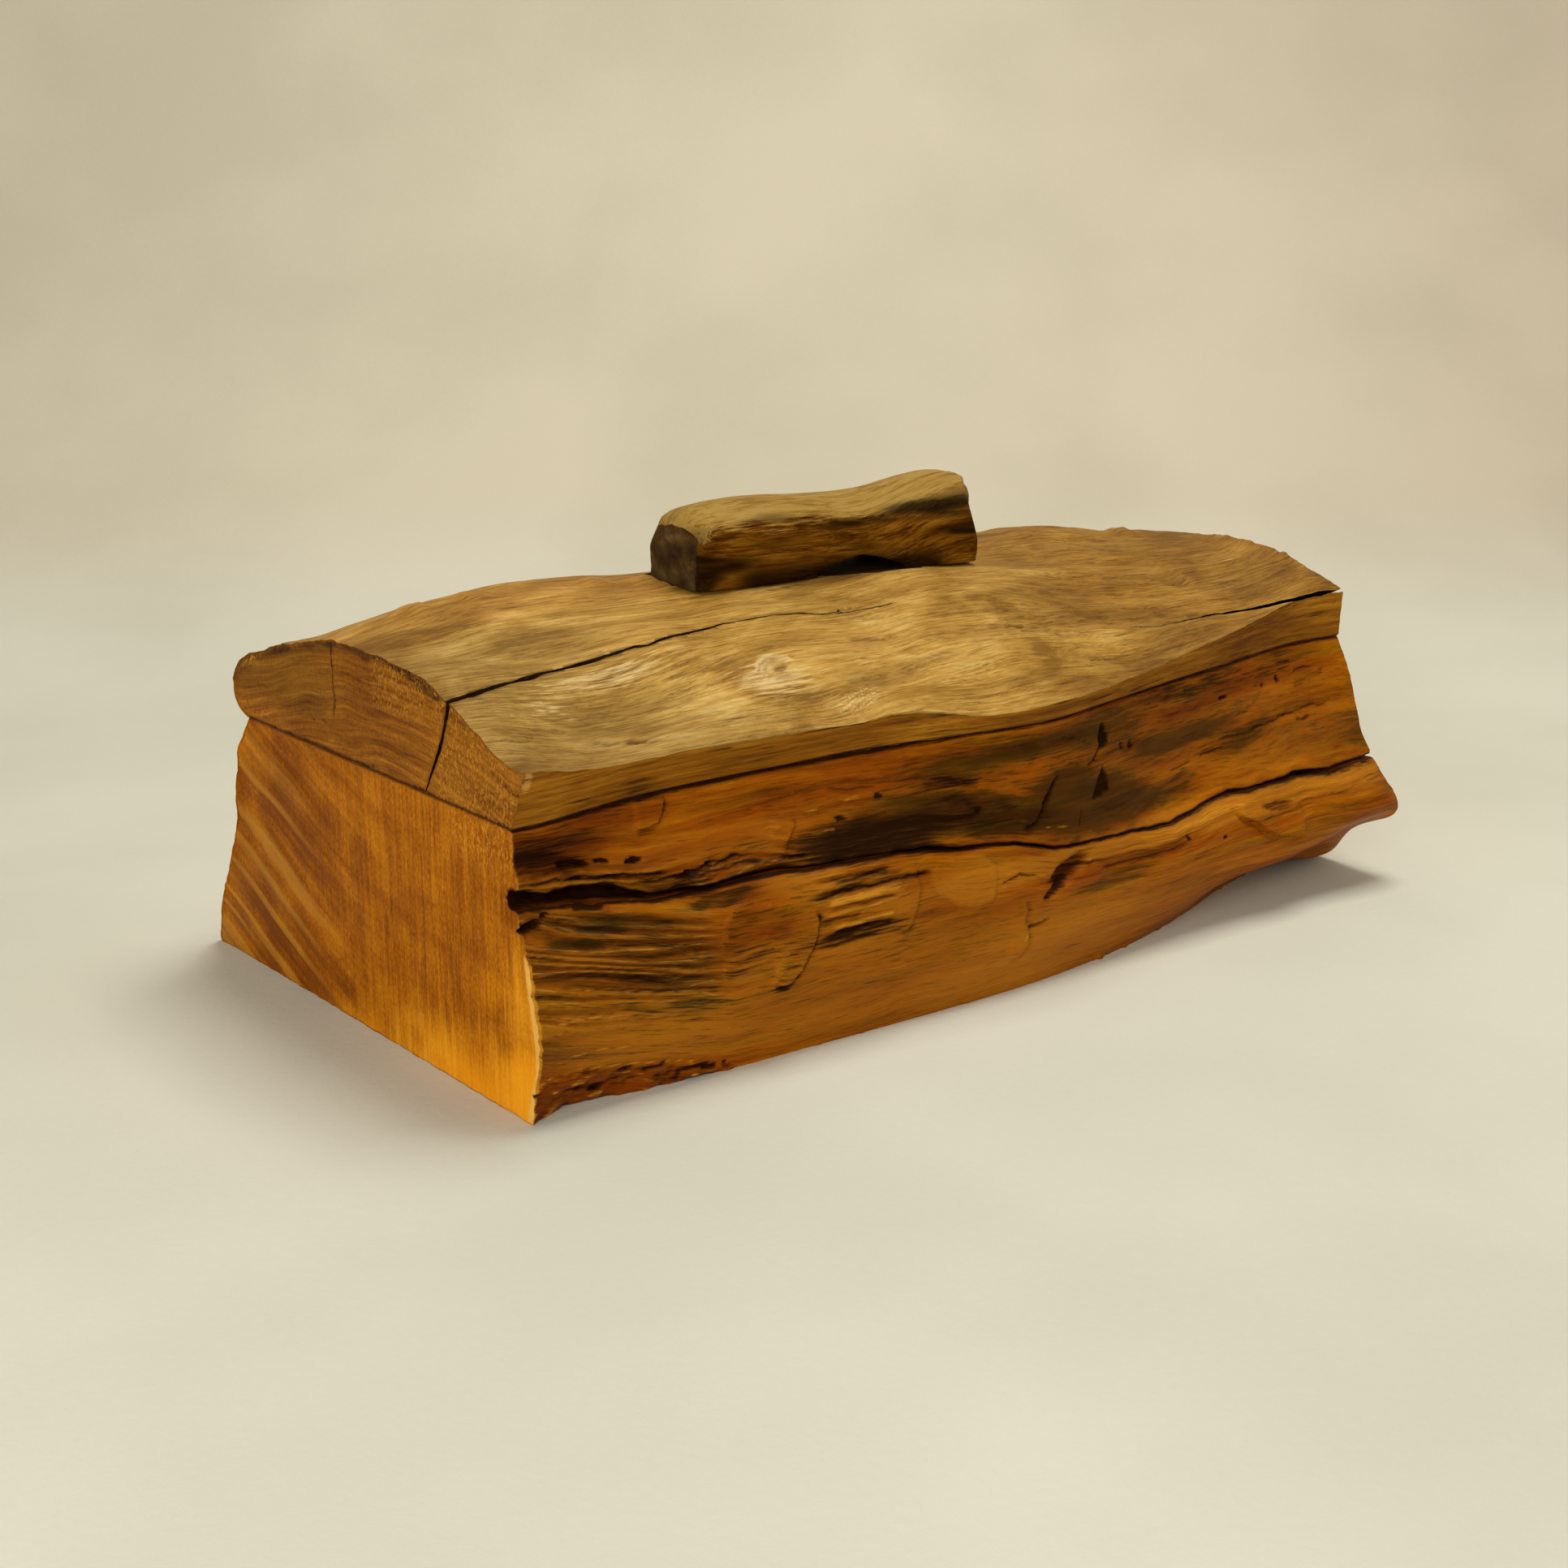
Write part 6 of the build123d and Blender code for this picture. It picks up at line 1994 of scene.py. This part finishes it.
def right_check_rows():
    path = np.array([(254, 21.6, 0.1), (262, 21.3, 0.45), (275, 21, 0.8), (285, 20, 1.0),
                     (295, 18.2, 1.3), (305, 16.6, 1.8), (313, 15.4, 2.0), (322, 14.6, 1.7),
                     (335, 14.2, 1.2)])  # along, across, how wide
    rows = []
    for u in np.arange(path[0, 0], path[-1, 0], CHECK_STEP):
        y = np.interp(u, path[:, 0], path[:, 1])
        y = y + 0.3 * float(grain(u / 4, 0.5, seed=161, octaves=3))
        wide = np.interp(u, path[:, 0], path[:, 2])
        share = np.interp(min(u, length), lid_u, (y + foot_front - arris_y) / (rear_y - arris_y))
        level = float(lookup(top_table, np.array([min(u, length)]), np.array([max(share, 0.0)]))[0])
        reach_in = np.linspace(0, 1, 8)
        deep = -6 + reach_in * 20
        rise = level + 3.0 - reach_in * 10.0
        half = 0.5 * wide * (1 - 0.8 * unit(deep / 14))
        half = half * (1 + 0.25 * grain(u / 3, deep / 3, seed=163))
        middle = y + foot_front + deep
        rows.append(there_and_back((left + u, middle, rise - half),
                                   (left + u, middle, rise + half)))
    return rows


def hairline_rows():
    """A hair crack in the left end, short and upright."""
    rows = []
    heights = np.linspace(HAIRLINE_TO, HAIRLINE_FROM, 9)
    middle = HAIRLINE_Y + foot_front + 0.5 * grain(heights / 4, 0.5, seed=167, octaves=2)
    half = 0.16 + 0.06 * grain(heights / 2, 0.5, seed=169)
    for x in (left - 1, left + 0.6):
        rows.append(there_and_back((x, middle - half, heights), (x, middle + half, heights)))
    return rows


def bed_rows():
    """The flat that the handle stands on, a little wider than the handle."""
    rows = []
    for along in (-1.0, HANDLE_LENGTH + 1.0):
        ring = [(along, side * (HANDLE_WIDTH / 2 + 1.0), height)
                for side, height in ((-1, 0), (1, 0), (1, 30), (-1, 30))]
        rows.append([tuple(HANDLE_START + handle_axes @ np.array(p)) for p in ring])
    return rows


cut(lid, wedge("left_check", left_check_rows()), wedge("right_check", right_check_rows()),
    wedge("hairline", hairline_rows()), wedge("handle_bed", bed_rows()))

# %% [markdown]
# ## The handle
#
# A short piece of branch with a worn grey top and a streaked, dark front. Its shape is measured
# by rays from all round its axis, in the handle's own directions: along, across and up.
# %% Measuring the handle
HANDLE_RINGS, HANDLE_SIDES = 152, 128
HANDLE_CORE = np.array([0.0, 0.0, 11.5])  # the middle of its section, above its flat
BEYOND_SKIN = 60


def measured_handle(along, turns):
    """Points of the handle's surface for places along it and turns round it."""
    points = np.zeros((len(along), len(turns), 3))
    for i, run in enumerate(along):
        start = np.array([np.clip(run, 0.3, HANDLE_LENGTH - 0.3), 0, 0]) + HANDLE_CORE
        for j, turn in enumerate(turns):
            ray = np.array([0, math.cos(turn), math.sin(turn)])
            hit = reach("handle_grip", HANDLE_START + handle_axes @ (start + BEYOND_SKIN * ray),
                        handle_axes @ -ray)
            points[i, j] = handle_axes.T @ (hit - HANDLE_START)
        points[i, :, 0] = run
    return points


handle_along = np.linspace(0, HANDLE_LENGTH, HANDLE_RINGS)
handle_turns = np.linspace(0, 2 * math.pi, HANDLE_SIDES, endpoint=False)
handle_points = measured_handle(handle_along, handle_turns)
print("handle", handle_points[..., 2].max().round(1), "mm high over its flat")

# %% [markdown]
# Then fibres are raised along it, most on its front, and small facets are whittled off the ends.
# Each end is closed by rings that shrink to a hub, a little domed and blotched.
# %% Handle mesh
WHITTLED = (((-0.75, -0.1, 0.65), (3.5, 0, 24.5)), ((-0.7, -0.55, 0.45), (2.5, -12, 14)),
            ((-0.8, -0.6, 0.0), (1.5, -12.5, 0)), ((-0.7, 0.6, 0.4), (2.0, 12, 14)),
            ((0.8, 0.0, 0.6), (103.0, 0, 26)), ((0.7, -0.65, 0.3), (104, -12, 14)))
LOOP_RADIUS = 12  # noise is laid round a circle of this size, so that it meets itself


def handle_mesh():
    """The branch-wood handle as a closed shell."""
    shell = Shell(["skin", "end"])
    points, core = handle_points.copy(), HANDLE_CORE
    radius = np.hypot(points[..., 1], points[..., 2] - core[2])
    u, around = np.broadcast_arrays(handle_along[:, None], handle_turns[None, :])
    loop_y, loop_z = LOOP_RADIUS * np.cos(around), LOOP_RADIUS * np.sin(around)
    coarse = grain(u / 26, loop_y / 3.2, loop_z / 3.2, seed=201, octaves=3)
    fine = grain(u / 9, loop_y / 1.1, loop_z / 1.1, seed=203, octaves=2)
    swell = grain(u / 30, loop_y / 9, loop_z / 9, seed=205, octaves=2)
    top = soft((np.sin(around) - 0.45) / 0.3)
    front = soft((-np.cos(around) - 0.2) / 0.4) * (1 - top)
    bottom = soft((-np.sin(around) - 0.6) / 0.2)
    out = (-0.25 + (0.25 + 0.45 * front) * coarse + 0.12 * fine + 0.6 * swell) * (1 - bottom)
    seat = points[..., 2] < 0.8
    out = np.where(seat, 0.0, out)
    scale = (radius + out) / radius
    points[..., 1] = points[..., 1] * scale
    points[..., 2] = core[2] + (points[..., 2] - core[2]) * scale
    for normal, through in WHITTLED:
        slope = np.array(normal) / np.linalg.norm(normal)
        over = np.clip((points - np.array(through)) @ slope, 0, 3.0)
        points = points - over[..., None] * slope
        points[..., 2] = np.where(seat, 0.0, np.clip(points[..., 2], 0.0, None))
    # Worn ends: the section draws in a little at both ends
    worn = 1 - 0.045 * unit(1 - np.minimum(u, HANDLE_LENGTH - u) / 2.2) ** 2
    points[..., 1] *= worn
    points[..., 2] = np.where(seat, points[..., 2], core[2] + (points[..., 2] - core[2]) * worn)
    end_dark = soft((9 - u) / 9)
    # painted shade in the hollow under the middle, on the low front beside it and on the bottom
    hollow = soft((3.5 - points[..., 2]) / 3) * soft((u - 30) / 12) * soft((86 - u) / 10)
    low_front = front * soft((9 - points[..., 2]) / 8) * soft((u - 8) / 14) * soft((98 - u) / 12)
    dark = 0.8 * front * unit(-coarse - 0.05) * 1.4 + 0.35 * end_dark * (1 - 0.6 * top)
    dark = dark + 0.8 * low_front + hollow + 0.25 * top * unit(-coarse - 0.3) + bottom
    dark = unit(dark)
    chip = np.exp(-((u - 2.5) / 2.0) ** 2 - ((points[..., 1] + 10) / 2.5) ** 2
                  - ((points[..., 2] - 15) / 3) ** 2)
    shoulder = soft((np.sin(around) - 0.05) / 0.5) * 0.45
    pale = unit(top + shoulder + front * 0.6 * unit(coarse - 0.3) + chip)
    red = 0.6 * front
    flow = points[..., 2] - 9 * soft((u - 60) / 40)
    world_points = HANDLE_START + points @ handle_axes.T
    world_points = np.clip(world_points, *in_mm(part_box("handle_grip")))
    ids = shell.add(world_points, {"dark": dark, "pale": pale, "red": red, "flow": flow})
    shell.weave(ids, "skin", closed=True)
    for column, sign in ((0, 1), (-1, -1)):
        centre = world_points[column].mean(0)
        previous = ids[column]
        for share in (0.9, 0.75, 0.55, 0.35, 0.15):
            ring = centre + (world_points[column] - centre) * share
            lift = 0.35 * grain(ring[:, 1] / 3, ring[:, 2] / 3, seed=211 + column, octaves=3) + 0.5
            ring = ring + (handle_axes @ np.array([sign, 0, 0])) * np.abs(lift)[:, None]
            blotch = 0.55 + 0.5 * grain(ring[:, 1] / 4, ring[:, 2] / 4, seed=213, octaves=2)
            numbers = shell.add(ring, {"dark": unit(blotch)})
            shell.weave(np.array([previous, numbers]), "end", closed=True)
            previous = numbers
        hub = shell.add(centre[None, :] + (handle_axes @ np.array([sign * 0.5, 0, 0])))
        ring = list(previous) + [previous[0]]
        for a, b in zip(ring, ring[1:]):
            shell.faces.append([int(a), int(b), int(hub[0])])
            shell.kinds.append(shell.finishes.index("end"))
    return shell

# %% [markdown]
# Two colours share the handle: dark, streaked wood in front and worn grey-tan on top. The stain
# "pale" decides between them, and fibre noise frays the border. The stain "dark" also adds
# painted shade in the hollow underneath, on the low front beside it and on the bottom.
# %% Finishes of the handle, and the handle itself
def handle_paint(spot, painted):
    x, y, z = spot.parts()
    sides = (painted("flow"), y)
    streaks = laid(x, 0.035, sides, 0.45).noise(1.0, 5, 0.65, 0.5)
    fibres = laid(x, 0.11, sides, 1.7).noise(1.0, 4, 0.65)
    level = 0.5 + (streaks - 0.5) * 0.5 + (fibres - 0.5) * 0.35
    colour = level.ramp([(0.40, (0.035, 0.010, 0.0004)), (0.47, (0.10, 0.032, 0.001)),
                         (0.53, (0.19, 0.070, 0.003)), (0.62, (0.38, 0.175, 0.014))])
    top = level.ramp([(0.40, (0.19, 0.09, 0.010)), (0.5, (0.34, 0.20, 0.040)),
                      (0.60, (0.48, 0.32, 0.09))])
    colour = colour.mixed(top, (painted("pale") + (fibres - 0.5) * 1.5).spread(0.25, 0.75))
    # the wood's dark streaks, and painted shade under the handle
    dark = (painted("dark") * 1.2 + (fibres - 0.5) * 1.2 + (streaks - 0.5) * 1.8).spread(0.0, 1.0)
    colour = colour.mixed((0.006, 0.002, 0.0003, 1), dark * 0.92)
    return {"Base Color": colour, "Specular IOR Level": 0.05, "Specular Tint": (1.0, 0.8, 0.5, 1),
            "Roughness": (0.45 + streaks * 0.2).clamped(),
            "Normal": bumped(fibres * 0.5 + streaks * 0.5, 0.6, 0.9)}


def handle_end_paint(spot, painted):
    cloud = spot.stretched((0.15, 0.11, 0.16)).noise(1.0, 4, 0.6)
    colour = cloud.ramp([(0.36, (0.05, 0.022, 0.003)), (0.5, (0.10, 0.052, 0.010)),
                         (0.66, (0.20, 0.12, 0.035))])
    colour = colour.mixed((0.008, 0.003, 0.001, 1), (painted("dark") * 0.7).clamped())
    return {"Base Color": colour, "Specular IOR Level": 0.15,
            "Roughness": (0.5 + cloud * 0.2).clamped(),
            "Normal": bumped(spot.noise(1.2, 3, 0.6), 0.4, 0.8)}


handle = handle_mesh().build("branch_handle", [finish("worn_branch", handle_paint),
                                               finish("branch_end", handle_end_paint)])
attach(handle, "lid")
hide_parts("handle_grip")

# %% [markdown]
# ## The hidden joinery
#
# The base board, the two cleats and the screws keep the exact meshes of the construction model.
# They get planed board with straight grain, and plain zinc-plated steel. The grain of the panel
# runs along the box and that of the cleats across it, so one function makes both finishes.
# %% Finishes of boards and hardware
ALONG, ACROSS = 0, 1


def board_paint(along_axis):
    """The paint function of a planed board whose grain runs along one axis."""
    def paint(spot, painted):
        scale = [0.55, 0.55, 0.55]
        scale[along_axis] = 0.02
        lines = spot.stretched(tuple(scale)).noise(1.0, 5, 0.6, 0.2)
        pores = spot.stretched(tuple(4 * s for s in scale)).noise(1.0, 2, 0.5)
        level = (lines * 0.75 + pores * 0.25).clamped()
        colour = level.ramp([(0.32, (0.30, 0.13, 0.035)), (0.5, (0.44, 0.22, 0.07)),
                             (0.7, (0.55, 0.31, 0.12))])
        return {"Base Color": colour, "Roughness": (0.42 + pores * 0.2).clamped(),
                "Normal": bumped(lines * 0.4 + pores * 0.6, 0.15, 0.5)}
    return paint


def steel_paint(spot, painted):
    cloud = spot.noise(0.8, 3, 0.5)
    turned = spot.stretched((3, 3, 0.4)).noise(1.0, 2, 0.5)
    colour = cloud.ramp([(0.35, (0.46, 0.45, 0.41)), (0.65, (0.60, 0.59, 0.55))])
    return {"Base Color": colour, "Metallic": 1.0, "Roughness": (0.25 + cloud * 0.25).clamped(),
            "Normal": bumped(turned, 0.03, 0.5)}


hidden_pieces = {
    finish("planed_board", board_paint(ALONG)): ("base_panel",),
    finish("planed_cleat", board_paint(ACROSS)): ("lid_cleat_left", "lid_cleat_right"),
    finish("zinc_plated_steel", steel_paint): ("base_panel_screws", "lid_cleat_screws",
                                               "handle_screws", "handle_washers"),
}
for material, names in hidden_pieces.items():
    for name in names:
        mesh = nodes[name].data
        mesh.materials.clear()
        mesh.materials.append(material)
    print(material.name, "on", ", ".join(names))

low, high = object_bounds()
boxes = {"cad": [list(cad_low), list(cad_high)], "visual": [list(low), list(high)]}
print("cad box", [[round(v / MM, 2) for v in corner] for corner in boxes["cad"]])
print("visual box", [[round(v / MM, 2) for v in corner] for corner in boxes["visual"]])
